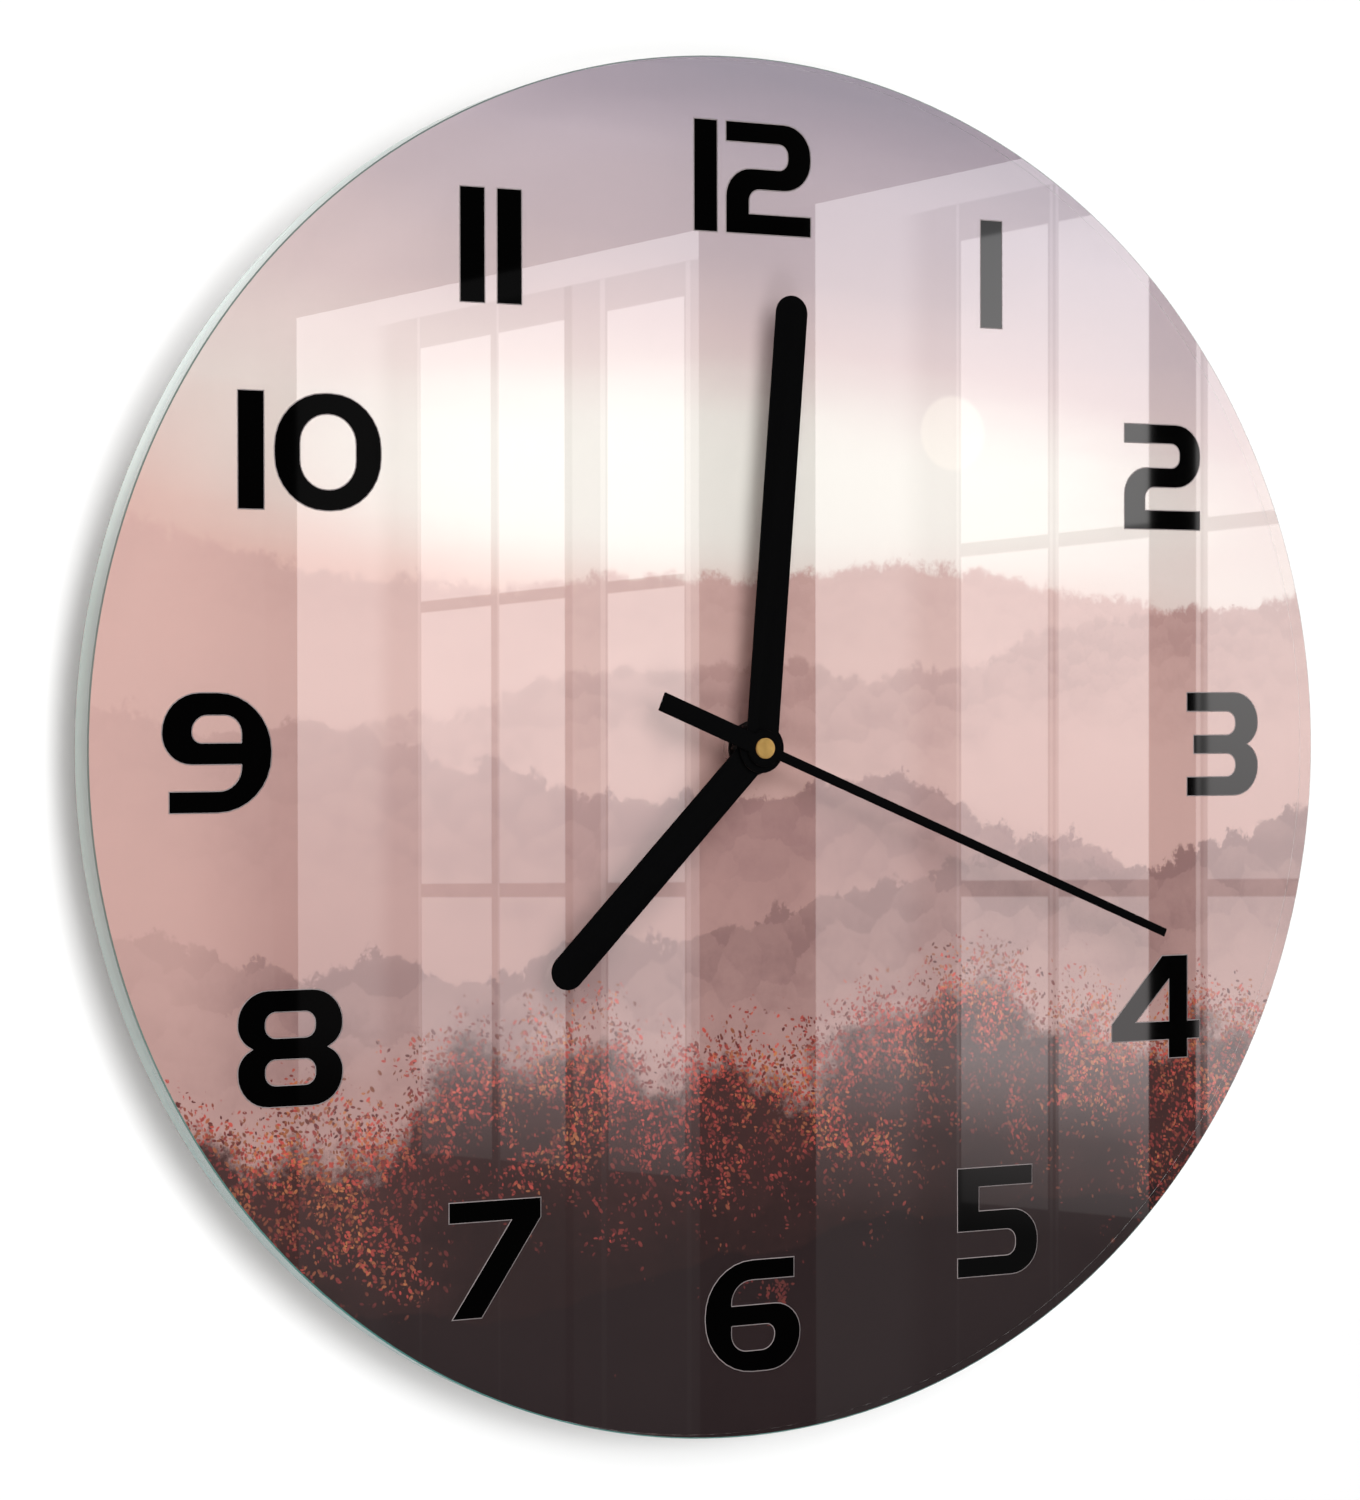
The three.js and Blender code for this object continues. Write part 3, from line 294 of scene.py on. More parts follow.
def turnedRing(profile, steps):
    # A closed profile of (radius, depth) points, spun about the hand shaft.
    bm = bmesh.new()
    corners = [bm.verts.new((radius, depth, shaftHeight)) for radius, depth in profile]
    edges = [bm.edges.new((corners[i - 1], corner)) for i, corner in enumerate(corners)]
    bmesh.ops.spin(
        bm, geom=corners + edges, cent=(0, 0, shaftHeight), axis=(0, 1, 0), dvec=(0, 0, 0),
        angle=math.tau, steps=steps, use_merge=True, use_normal_flip=False, use_duplicate=False)
    bmesh.ops.remove_doubles(bm, verts=bm.verts, dist=meshWork["weld"])
    bmesh.ops.recalc_face_normals(bm, faces=bm.faces)
    return bm


def softened(node, width, material):
    # The CAD node's own shape with its sharp edges broken.
    bm = bmesh.new()
    bm.from_mesh(nodes[node].data)
    bmesh.ops.remove_doubles(bm, verts=bm.verts, dist=meshWork["weld"])
    bmesh.ops.dissolve_limit(
        bm, angle_limit=math.radians(meshWork["flat"]), use_dissolve_boundaries=False,
        verts=bm.verts, edges=bm.edges)
    sharp = [
        edge for edge in bm.edges
        if len(edge.link_faces) == 2 and edge.calc_face_angle() > math.radians(meshWork["sharp"])
    ]
    bmesh.ops.bevel(
        bm, geom=sharp, offset=width, offset_type="OFFSET", affect="EDGES",
        segments=meshWork["segments"], profile=0.5, material=-1, clamp_overlap=True)
    mesh = meshOf(node + "_finish", bm, smoothAngle=meshWork["sharp"])
    return finished(node + "_finish", mesh, node, [material])


# Glass: clear faces and a greener ground edge

glassLook = {
    "steps": 240,
    "arris": 0.3 * mm,
    "rearArris": 0.03 * mm,
    "holeRadius": 4.5 * mm,
    "flat": 0.9,  # faces that look this much along the shaft are clear, the rest are edge
    "faceTint": (0.975, 0.992, 0.985),
    "faceDrift": (0.98, 0.99, 0.988),
    "driftScale": 9.0,
    "refraction": 1.5,
    "sheen": 1.8,  # index of the coat that mirrors the room
    "edgeRearHighlight": (0.27, 0.39, 0.35),  # ground edge: paler at the rear as a painted highlight, greyer to the front
    "edgeFront": (0.15, 0.205, 0.185),
    "edgeFootShade": (0.10, 0.32, 0.285),  # painted shade: deeper, darker green at the foot, away from the light
    "footShadeFrom": 0.02,  # metres under the shaft
    "footShadeTo": 0.13,
    "streaks": (12.0, 600.0, 12.0),  # lines of the grinding, round the edge
    "streakDrift": 2 * mm,
    "edgeRoughness": 0.16,
    "edgeTransmission": 0.3,
}


def glassFaceMaterial():
    shader = Shader("clearGlass", **{
        "Roughness": 0.0, "Transmission Weight": 1.0, "IOR": glassLook["refraction"],
        "Coat Weight": 1.0, "Coat Roughness": 0.0, "Coat IOR": glassLook["sheen"]})
    drift = shader.noise(shader.point(), glassLook["driftScale"])
    tint = shader.mix(drift, glassLook["faceTint"], glassLook["faceDrift"])
    return shader.use(Base_Color=tint)


def glassEdgeMaterial():
    # Green from outside, while a look from within is mirrored as by any polished edge
    shader = Shader("glassEdge", **{
        "Transmission Weight": glassLook["edgeTransmission"], "IOR": glassLook["refraction"]})
    _, y, z = shader.axes()
    streaks = shader.noise(shader.node("Mapping", inputs={
        "Vector": shader.point(), "Scale": glassLook["streaks"]}), 1.0, detail=3.0)
    # Painted highlight: the edge is paler towards its rear face
    across = shader.between(y + sway(streaks, glassLook["streakDrift"]), glassFront, glassRear)
    tint = shader.mix(across, glassLook["edgeFront"], glassLook["edgeRearHighlight"])
    # Painted shade: the edge darkens towards its foot
    low = shader.between(z, shaftHeight - glassLook["footShadeFrom"], shaftHeight - glassLook["footShadeTo"])
    tint = shader.mix(low, tint, glassLook["edgeFootShade"])
    shader.use(Base_Color=tint, Roughness=glassLook["edgeRoughness"] + streaks * 0.12)
    inside = shader.node("BsdfPrincipled", inputs={
        "Base Color": glassLook["faceTint"], "Roughness": 0.0, "Transmission Weight": 1.0,
        "IOR": glassLook["refraction"]})
    within = shader.node("NewGeometry", output="Backfacing")
    surface = shader.node("MixShader", inputs={
        0: within, 1: Signal(shader, shader.surface.outputs[0]), 2: inside})
    shader.tree.links.new(surface.socket, shader.tree.nodes["Material Output"].inputs["Surface"])
    return shader.material


def buildGlass():
    inner, outer = glassLook["holeRadius"], dialRadius
    arris, rearArris = glassLook["arris"], glassLook["rearArris"]
    bm = turnedRing([
        (inner, glassRear),
        (outer - rearArris, glassRear),
        (outer, glassRear - rearArris),
        (outer, glassFront + arris),
        (outer - arris, glassFront),
        (inner, glassFront),
    ], glassLook["steps"])
    for face in bm.faces:
        face.normal_update()
        face.material_index = 0 if abs(face.normal.y) > glassLook["flat"] else 1
    mesh = meshOf("glass_dial", bm, smoothAngle=30)
    glassMaterials = [glassFaceMaterial(), glassEdgeMaterial()]
    glass = finished("glass_dial", mesh, "glass_disc", glassMaterials)
    glass.visible_shadow = False  # lamps reach the print through it


buildGlass()
print("glass built")


# Print: misty moorland in rose and brown, behind the glass

artwork = {
    "steps": 192,
    "bond": 0.02 * mm,  # the ink is in the glass's rear face
    "inset": 0.03 * mm,
    "textures": {  # stretch across and up, place in the noise, scale, detail, roughness
        "streaks": (1.1, 6.5, 4.0, 1.0, 5.0, 0.55),
        "mottle": (3.0, 5.0, 9.0, 2.0, 6.0, 0.6),
        "scrub": (1.0, 1.0, 0.0, 22.0, 7.0, 0.72),
        "twigs": (90.0, 60.0, 2.0, 1.0, 4.0, 0.75),
        "clumps": (1.0, 1.0, 0.0, 6.0, 5.0, 0.6),
        "hue": (1.0, 1.0, 0.0, 4.0, 2.0, 0.5),
        "light": (1.0, 1.0, 0.0, 9.0, 5.0, 0.65),
        "tufts": (1.0, 1.0, 5.0, 5.5, 4.0, 0.5),
    },
    "sky": [  # from the shaft's height up to the rim
        (0.0, tone(200, 166, 158)),
        (0.22, tone(205, 173, 165)),
        (0.38, tone(208, 196, 191)),
        (0.50, tone(205, 189, 186)),
        (0.60, tone(197, 179, 179)),
        (0.72, tone(183, 168, 172)),
        (0.84, tone(176, 163, 170)),
        (0.93, tone(160, 149, 158)),
        (1.0, tone(150, 142, 152)),
    ],
    "slant": 0.15,  # the sky is paler to the left
    "cloudDrift": 0.14,
    "glow": {
        "u": 0.02, "v": 0.38, "wide": 1.0, "high": 0.20, "fray": 0.7, "colour": tone(215, 212, 206),
    },
    "sun": {
        "u": 0.36, "v": 0.47, "radius": 0.06, "core": 0.85, "share": 0.4,
        "colour": tone(236, 229, 219),
    },
    "hills": [
        # base, rise and swell are in dial radii; the mist thickens below each crest
        {
            "base": 0.25, "rise": -0.06, "swell": 0.16, "waves": 1.3, "seed": 3.1, "soft": 0.010,
            "ragged": 0.05, "crowns": 44, "depth": 0.18,
            "crest": tone(181, 149, 144), "mist": tone(191, 159, 153),
        },
        {
            "base": 0.11, "rise": 0.10, "swell": 0.18, "waves": 1.7, "seed": 8.4, "soft": 0.007,
            "ragged": 0.05, "crowns": 33, "depth": 0.22,
            "crest": tone(168, 136, 132), "mist": tone(190, 157, 151),
        },
        {
            "base": -0.05, "rise": -0.12, "swell": 0.20, "waves": 2.1, "seed": 14.9, "soft": 0.005,
            "ragged": 0.06, "crowns": 25, "depth": 0.26,
            "crest": tone(150, 118, 116), "mist": tone(173, 139, 134),
        },
        {
            "base": -0.22, "rise": 0.08, "swell": 0.20, "waves": 2.5, "seed": 21.3, "soft": 0.004,
            "ragged": 0.07, "crowns": 19, "depth": 0.28,
            "crest": tone(139, 109, 107), "mist": tone(174, 141, 136),
        },
    ],
    "wood": {
        "bend": 0.05,  # the crowns' outlines are not quite round
        "squash": 0.8,
        "fray": 0.02,
        "crownRise": 0.7,  # of crowns and twigs over the crest
        "twigRise": 0.03,
        "mistDrift": 0.22,
        "shadow": 0.35,  # under the crowns
        "sparkle": 0.5,
        "contrast": 0.42,
    },
    "hazes": [  # from and to across, low and high up the dial
        {
            "from": 0.05, "to": -0.85, "low": -0.35, "high": 0.05, "share": 0.5,
            "colour": tone(195, 163, 157),
        },
        {
            "from": -0.68, "to": -0.88, "low": -0.62, "high": -0.28, "share": 0.55,
            "colour": tone(205, 170, 163),
        },
    ],
    "heath": {
        "base": -0.42, "rise": 0.06, "swell": 0.26, "waves": 1.9, "seed": 31.7, "ragged": 0.30,
        "twigRise": 0.08, "beltDrift": 0.24, "beltTop": 0.06, "belt": 0.36, "edgeDrift": 0.10,
        "shadow": tone(70, 48, 47), "ground": tone(50, 38, 38), "shade": tone(40, 32, 33),
    },
    "knoll": {
        "base": -0.72, "rise": 0.10, "swell": 0.24, "waves": 1.3, "seed": 47.2, "ragged": 0.02,
        "share": 0.8, "shade": tone(45, 36, 37),
    },
    "leaves": {
        # leaves in a metre, and their slope in degrees
        "layers": [(900.0, 35.0), (1050.0, -40.0), (1250.0, 80.0), (1500.0, 10.0)],
        "stretch": 0.55,
        "least": 0.30,  # share of leaves in the dark, and what light adds to it
        "more": 0.68,
        "tuftShare": 0.5,
        "red": tone(204, 88, 78),
        "amber": tone(194, 124, 82),
        "dull": tone(92, 50, 50),
    },
    "ink": 0.015,  # share of black over it all
    "grain": 1400.0,
    "grainDepth": 0.03,
    "black": (0.02, 0.015, 0.015),
    "backing": tone(150, 148, 145),
}


def crestLine(shader, u, hill, detail):
    # The height of a hill's outline above the shaft, along the dial
    wave = shader.noise(shader.vector(u * hill["waves"] + hill["seed"], hill["seed"]), 1.0, detail)
    return hill["base"] + u * hill["rise"] + sway(wave, 2) * hill["swell"]


def printTextures(shader, u, v):
    # The noises that the whole print shares, by name
    made = {}
    for name, (across, up, place, scale, detail, roughness) in artwork["textures"].items():
        stretched = shader.vector(u * across, v * up, place)
        made[name] = shader.noise(stretched, scale, detail, roughness)
    return made


def skyColour(shader, u, v, texture):
    # A bright belt over the hills, a small sun and thin drifting cloud
    glow, sun = artwork["glow"], artwork["sun"]
    lift = v + u * artwork["slant"] + sway(texture["streaks"], artwork["cloudDrift"])
    colour = shader.ramp(lift, artwork["sky"])
    reach = ((u - glow["u"]) / glow["wide"]) ** 2 + ((v - glow["v"]) / glow["high"]) ** 2
    belt = shader.between(reach + sway(texture["streaks"], glow["fray"]), 1.0, 0.0)
    colour = shader.mix(belt, colour, glow["colour"])
    away = ((u - sun["u"]) ** 2 + (v - sun["v"]) ** 2) ** 0.5
    disc = shader.between(away, sun["radius"], sun["radius"] * sun["core"])
    return shader.mix(disc * sun["share"], colour, sun["colour"])


def addHill(shader, u, v, texture, hill, colour):
    # One wooded hill in front of a colour, with mist in its valley and haze to the left
    wood, scrub, twigs = artwork["wood"], texture["scrub"], texture["twigs"]
    wildX, wildY = u + sway(scrub, wood["bend"]), v * wood["squash"] + sway(twigs, wood["fray"])
    near, top = shader.crown(wildX, wildY, hill["crowns"])
    edge = (0.45 - near) * (wood["crownRise"] / hill["crowns"])
    edge = edge + sway(scrub, hill["ragged"]) + sway(twigs, wood["twigRise"])
    below = crestLine(shader, u, hill, 5.0) - v + edge
    mist = shader.between(below + sway(texture["mottle"], wood["mistDrift"]), -0.01, hill["depth"])
    leafage = (1 - mist) * (top - wood["shadow"] + sway(twigs, wood["sparkle"]))
    slope = shader.mix(mist + leafage * wood["contrast"], hill["crest"], hill["mist"])
    for haze in artwork["hazes"]:
        across = shader.between(u, haze["from"], haze["to"])
        upward = shader.between(v, haze["low"], haze["high"])
        slope = shader.mix(across * upward * haze["share"], slope, haze["colour"])
    return shader.mix(shader.between(below, -hill["soft"], hill["soft"]), colour, slope)


def addHeath(shader, u, v, texture, colour):
    # Bushes in front of a colour, thin above and dark below; the belt's depth goes to the leaves
    heath, knoll = artwork["heath"], artwork["knoll"]
    below = crestLine(shader, u, heath, 5.0) - v + sway(texture["clumps"], heath["ragged"])
    below = below + sway(texture["twigs"], heath["twigRise"])
    depth = below + sway(texture["mottle"], heath["beltDrift"])
    deep = shader.between(depth, heath["beltTop"], heath["belt"])
    ground = shader.mix(deep, heath["shadow"], heath["ground"])
    foot = shader.between(below, heath["belt"] * 0.9, heath["belt"] * 1.9)
    ground = shader.mix(foot, ground, heath["shade"])
    under = crestLine(shader, u, knoll, 4.0) - v + sway(texture["scrub"], knoll["ragged"])
    mound = shader.between(under, -0.003, 0.004) * knoll["share"]
    ground = shader.mix(mound, ground, knoll["shade"])
    solid = shader.between(below + sway(texture["scrub"], heath["edgeDrift"]), 0.0, 0.07)
    return below, deep, shader.mix(solid, colour, ground)


def addLeaves(shader, x, z, texture, below, deep, colour):
    # Loose leaves over the heath, red and amber where light falls, in layers of different slopes
    leaves = artwork["leaves"]
    light = shader.between(texture["light"] - deep * 0.2, 0.36, 0.60)
    tufts = shader.between(texture["tufts"], 0.60, 0.70) * leaves["tuftShare"]
    loose = (1 - deep) * (leaves["least"] + light * leaves["more"])
    crowd = shader.between(below, -0.075, 0.03) * shader.calc("MAXIMUM", loose, tufts * deep)
    for size, slope in leaves["layers"]:
        across, along = math.cos(math.radians(slope)), math.sin(math.radians(slope))
        climb = (z * across - x * along) * leaves["stretch"]
        near, pick, shift, shine = shader.leaf(shader.vector(x * across + z * along, 0.0, climb), size)
        shown = shader.between(crowd - pick, 0.0, 0.05) * shader.between(near, 0.46, 0.26)
        turned = shader.between(texture["hue"] + sway(shift, 0.35), 0.50, 0.68)
        leafColour = shader.mix(turned, leaves["red"], leaves["amber"])
        lit = shine * (0.25 + light * 0.75) * (1 - deep * 0.4)
        leafColour = shader.mix(lit, leaves["dull"], leafColour)
        colour = shader.mix(shown, colour, leafColour)
    return colour


def printMaterial():
    shader = Shader("dialPrint", **{"Specular IOR Level": 0.0})
    x, y, z = shader.axes()
    u, v = x / dialRadius, (z - shaftHeight) / dialRadius
    texture = printTextures(shader, u, v)
    colour = skyColour(shader, u, v, texture)
    for hill in artwork["hills"]:
        colour = addHill(shader, u, v, texture, hill, colour)
    below, deep, colour = addHeath(shader, u, v, texture, colour)
    colour = addLeaves(shader, x, z, texture, below, deep, colour)

    # Fine print grain, and the plain backing seen from behind
    grain = shader.noise(shader.point(), artwork["grain"], detail=1.0)
    ink = artwork["ink"] + sway(grain, artwork["grainDepth"])
    colour = shader.mix(ink, colour, artwork["black"])
    front = shader.between(y, glassRear + 0.12 * mm, glassRear + 0.1 * mm)
    colour = shader.mix(front, artwork["backing"], colour)
    return shader.use(Base_Color=colour, Roughness=0.5 + grain * 0.15)


def buildPrint():
    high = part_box("dial_print")[1]
    edge = dialRadius - artwork["inset"]
    inner = glassLook["holeRadius"]
    faceDepth = glassRear - artwork["bond"]
    profile = [(inner, faceDepth), (edge, faceDepth), (edge, high.y), (inner, high.y)]
    mesh = meshOf("dial_artwork", turnedRing(profile, artwork["steps"]), smoothAngle=30)
    finished("dial_artwork", mesh, "dial_print", [printMaterial()])


buildPrint()
print("print built")


# Numerals in black ink on the glass, each with a thin pale outline

numeralInk = {
    "lift": 0.05 * mm,
    "outline": 0.20 * mm,
    "outlineLift": 0.6,  # share of the lift
    "curl": 0.5523,  # handle length that turns two handles into a quarter circle
    "steps": 8,
}

# Each shape is a list of rings of (x, y, corner radius), in mm from its lower left corner.
bar = [(0, 0, 0), (5.5, 0, 0), (5.5, 24, 0), (0, 24, 0)]
numeralShapes = {
    "1": (5.5, 24.0, [bar]),
    "2": (20.8, 24.0, [[
        (0, 24, 0), (0, 19.8, 0), (15.3, 19.8, 2.4), (15.3, 14.0, 2.4), (0, 14.0, 6.2),
        (0, 0, 0), (20.8, 0, 0), (20.8, 4.2, 0), (5.5, 4.2, 0), (5.5, 9.7, 2.6),
        (20.8, 9.7, 6.6), (20.8, 24, 6.6),
    ]]),
    "3": (19.8, 23.8, [[
        (0, 23.8, 0), (0, 19.6, 0), (13.7, 19.6, 2.6), (13.7, 13.9, 2.6), (1.9, 13.9, 0),
        (1.9, 9.8, 0), (13.7, 9.8, 2.6), (13.7, 4.2, 2.6), (0, 4.2, 0), (0, 0, 0),
        (19.8, 0, 6.6), (19.8, 9.9, 2.6), (16.7, 11.9, 0), (19.8, 13.9, 2.6), (19.8, 23.8, 6.6),
    ]]),
    "4": (24.2, 23.6, [
        [(13.9, 23.6, 0), (0, 8.2, 0), (0, 4.3, 0), (15.7, 4.3, 0), (15.7, 0, 0), (20.8, 0, 0),
         (20.8, 4.3, 0), (24.2, 4.3, 0), (24.2, 8.4, 0), (20.8, 8.4, 0), (20.8, 23.6, 0)],
        [(15.8, 8.4, 0), (6.3, 8.4, 0), (15.8, 18.4, 0)],
    ]),
    "5": (21.0, 24.4, [[
        (0, 24.4, 0), (0, 10.3, 0), (15.3, 10.3, 2.5), (15.3, 4.2, 2.5), (0, 4.2, 0),
        (0, 0, 0), (21, 0, 6.8), (21, 14.6, 6.8), (5.5, 14.6, 0), (5.5, 20.2, 0),
        (19.6, 20.2, 0), (19.6, 24.4, 0),
    ]]),
    "6": (23.3, 24.2, [
        [(21.8, 24.2, 0), (0, 24.2, 11.6), (0, 0, 11.6), (23.3, 0, 8.0), (23.3, 14.4, 6.2),
         (6.3, 14.4, 0.2), (6.3, 20.0, 5.0), (21.8, 20.0, 0)],
        [(6.3, 10.2, 0.3), (17.1, 10.2, 2.2), (17.1, 4.4, 3.4), (6.3, 4.4, 3.8)],
    ]),
    "7": (21.0, 24.4, [[
        (0, 24.4, 0), (0, 20.2, 0), (14.4, 20.2, 0), (0.7, 0, 0), (7.3, 0, 0), (21, 20.4, 0),
        (21, 24.4, 0),
    ]]),
    "8": (22.7, 23.7, [
        [(0, 23.7, 6.6), (0, 13.9, 2.6), (3.3, 11.9, 0), (0, 9.9, 2.6), (0, 0, 6.6), (22.7, 0, 6.6),
         (22.7, 9.9, 2.6), (19.4, 11.9, 0), (22.7, 13.9, 2.6), (22.7, 23.7, 6.6)],
        [(5.8, 19.4, 2.4), (16.9, 19.4, 2.4), (16.9, 13.9, 2.4), (5.8, 13.9, 2.4)],
        [(5.8, 9.7, 2.4), (16.9, 9.7, 2.4), (16.9, 4.2, 2.4), (5.8, 4.2, 2.4)],
    ]),
    "9": (23.3, 24.2, [
        [(1.5, 0, 0), (23.3, 0, 11.6), (23.3, 24.2, 11.6), (0, 24.2, 8.0), (0, 9.8, 6.2),
         (17.0, 9.8, 0.2), (17.0, 4.2, 5.0), (1.5, 4.2, 0)],
        [(17.0, 14.0, 0.3), (6.2, 14.0, 2.2), (6.2, 19.8, 3.4), (17.0, 19.8, 3.8)],
    ]),
    "0": (23.3, 23.9, [
        [(0, 23.9, 11.0), (0, 0, 11.0), (23.3, 0, 11.0), (23.3, 23.9, 11.0)],
        [(5.4, 19.8, 6.1), (17.9, 19.8, 6.1), (17.9, 4.1, 6.1), (5.4, 4.1, 6.1)],
    ]),
}

# The middle of each numeral from the shaft, in mm, and its digits' left edges from its own.
numeralPlaces = {
    12: (0.4, 123.8, [("1", 0), ("2", 7.8)]),
    1: (61.2, 106.1, [("1", 0)]),
    2: (107.5, 61.8, [("2", 0)]),
    3: (124.3, 0.1, [("3", 0)]),
    4: (105.6, -60.6, [("4", 0)]),
    5: (62.6, -107.1, [("5", 0)]),
    6: (-0.1, -123.7, [("6", 0)]),
    7: (-61.5, -106.9, [("7", 0)]),
    8: (-107.2, -60.6, [("8", 0)]),
    9: (-122.8, -0.1, [("9", 0)]),
    10: (-102.5, 61.4, [("1", 0), ("0", 7.9)]),
    11: (-61.9, 105.8, [("1", 0), ("1", 8.5)]),
}


def inkMaterial():
    # The sheen over the ink rises towards the windows' side of the dial.
    shader = Shader("dialInk", **{
        "Specular IOR Level": 0.0, "Coat Roughness": 0.02, "Coat IOR": 1.68})
    x = shader.axes()[0]
    speck = shader.noise(shader.point(), 2400.0)
    base = shader.mix(speck, (0.0004, 0.0004, 0.0004), (0.0012, 0.0011, 0.0011))
    sheen = 0.04 + 0.96 * shader.between(x, -0.01, 0.06)
    return shader.use(Base_Color=base, Roughness=0.4 + speck * 0.1, Coat_Weight=sheen)


def outlineMaterial():
    shader = Shader("numeralOutline", **{"Specular IOR Level": 0.2})
    speck = shader.noise(shader.point(), 900.0)
    base = shader.mix(speck, tone(150, 140, 140), tone(172, 162, 162))
    return shader.use(Base_Color=base, Roughness=0.4 + speck * 0.2)


def addRing(curve, corners, shiftX):
    # One closed outline: a rounded corner is two points with handles along its sides.
    knots = []
    for i, (x, y, radius) in enumerate(corners):
        here = Vector((x + shiftX, y, 0))
        before, after = corners[i - 1], corners[(i + 1) % len(corners)]
        back = (Vector((before[0] + shiftX, before[1], 0)) - here).normalized()
        ahead = (Vector((after[0] + shiftX, after[1], 0)) - here).normalized()
        if radius == 0:
            knots.append((here, here, here))
            continue
        pull = radius * numeralInk["curl"]
        first, second = here + back * radius, here + ahead * radius
        knots.append((first, first, first - back * pull))
        knots.append((second, second - ahead * pull, second))
    spline = curve.splines.new("BEZIER")
    spline.bezier_points.add(len(knots) - 1)
    spline.use_cyclic_u = True
    for point, (place, left, right) in zip(spline.bezier_points, knots):
        point.handle_left_type = point.handle_right_type = "FREE"
        point.co, point.handle_left, point.handle_right = place * mm, left * mm, right * mm


def numeralMesh(name, digits, thickness, thread):
    # Filled where there is no thread, and otherwise only its outline
    curve = bpy.data.curves.new(name, "CURVE")
    curve.dimensions = "2D"
    curve.fill_mode = "NONE" if thread else "BOTH"
    curve.resolution_u = numeralInk["steps"]
    curve.extrude = 0 if thread else thickness / 2
    curve.bevel_depth, curve.bevel_resolution = thread, 0
    for digit, shift in digits:
        for ring in numeralShapes[digit][2]:
            addRing(curve, ring, shift)
    drawn = bpy.data.objects.new(name, curve)
    bpy.context.scene.collection.objects.link(drawn)
    bpy.context.view_layer.update()
    evaluated = drawn.evaluated_get(bpy.context.evaluated_depsgraph_get())
    mesh = bpy.data.meshes.new_from_object(evaluated)
    bpy.data.objects.remove(drawn)
    mesh.name = name
    if thread:
        mesh.transform(Matrix.Diagonal((1, 1, thickness / 2 / thread, 1)))
    return mesh


def addNumeral(hour, inks):
    centreX, centreZ, digits = numeralPlaces[hour]
    lastDigit, lastShift = digits[-1]
    width = lastShift + numeralShapes[lastDigit][0]
    height = numeralShapes[lastDigit][1]
    corner = Vector(((centreX - width / 2) * mm, 0, (centreZ - height / 2) * mm + shaftHeight))
    lift = numeralInk["lift"]
    layers = [
        ("numeral_%d_outline" % hour, lift * numeralInk["outlineLift"], numeralInk["outline"], inks[1]),
        ("numeral_%d" % hour, lift, 0, inks[0]),
    ]
    for name, thickness, thread, material in layers:
        mesh = numeralMesh(name, digits, thickness, thread)
        corner.y = glassFront - thickness / 2
        mesh.transform(Matrix.Translation(corner) @ Matrix.Rotation(math.pi / 2, 4, "X"))
        mesh.materials.clear()
        mesh.materials.append(material)
        numeral = bpy.data.objects.new(name, mesh)
        bpy.context.scene.collection.objects.link(numeral)
        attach(numeral, nodes["glass_disc"]["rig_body"])
        numeral.visible_shadow = numeral.visible_diffuse = numeral.visible_transmission = False


inks = (inkMaterial(), outlineMaterial())
for hour in numeralPlaces:
    addNumeral(hour, inks)
print("numerals built:", len(numeralPlaces))


# Hands in satin black, with a turned brass cap

handLook = {
    "edge": 0.12 * mm,
    "roughness": 0.5,
    "paint": (0.0014, 0.0014, 0.0015),
    "lit": (0.0026, 0.0026, 0.0028),
}


def handMaterial():
    shader = Shader("handPaint", **{"Specular IOR Level": 0.045})
    speck = shader.noise(shader.point(), 1800.0, detail=3.0)
    base = shader.mix(speck, handLook["paint"], handLook["lit"])
    normal = shader.bump(speck, 0.12, 0.00004)
    roughness = handLook["roughness"] + speck * 0.12
    return shader.use(Base_Color=base, Roughness=roughness, Normal=normal)


handPaint = handMaterial()
for hand in ("hour_hand", "minute_hand", "second_hand"):
    painted = softened(hand, handLook["edge"], handPaint)
    painted.visible_glossy = False  # the windows' image in the glass is not broken by theirs


capLook = {
    "steps": 64,
    "rings": 0.16 * mm,
    "light": (0.96, 0.62, 0.20),
    "deep": (0.52, 0.28, 0.07),
    "flange": 0.6 * mm,
    "stem": 1.1 * mm,
    "bore": 0.6 * mm,
    "pip": 0.02 * mm,  # the face ends this far from the middle
}


def capMaterial():
    # Fine lathe rings about the shaft
    shader = Shader("turnedBrass", **{"Metallic": 0.6})
    x, _, z = shader.axes()
    radius = (x ** 2 + (z - shaftHeight) ** 2) ** 0.5
    ring = shader.calc("SINE", radius * (math.tau / capLook["rings"])) * 0.5 + 0.5
    speck = shader.noise(shader.point(), 3000.0)
    base = shader.mix(ring * 0.5 + speck * 0.4, capLook["light"], capLook["deep"])
    return shader.use(
        Base_Color=base, Roughness=0.18 + speck * 0.12, Normal=shader.bump(ring, 0.8, 0.00003))


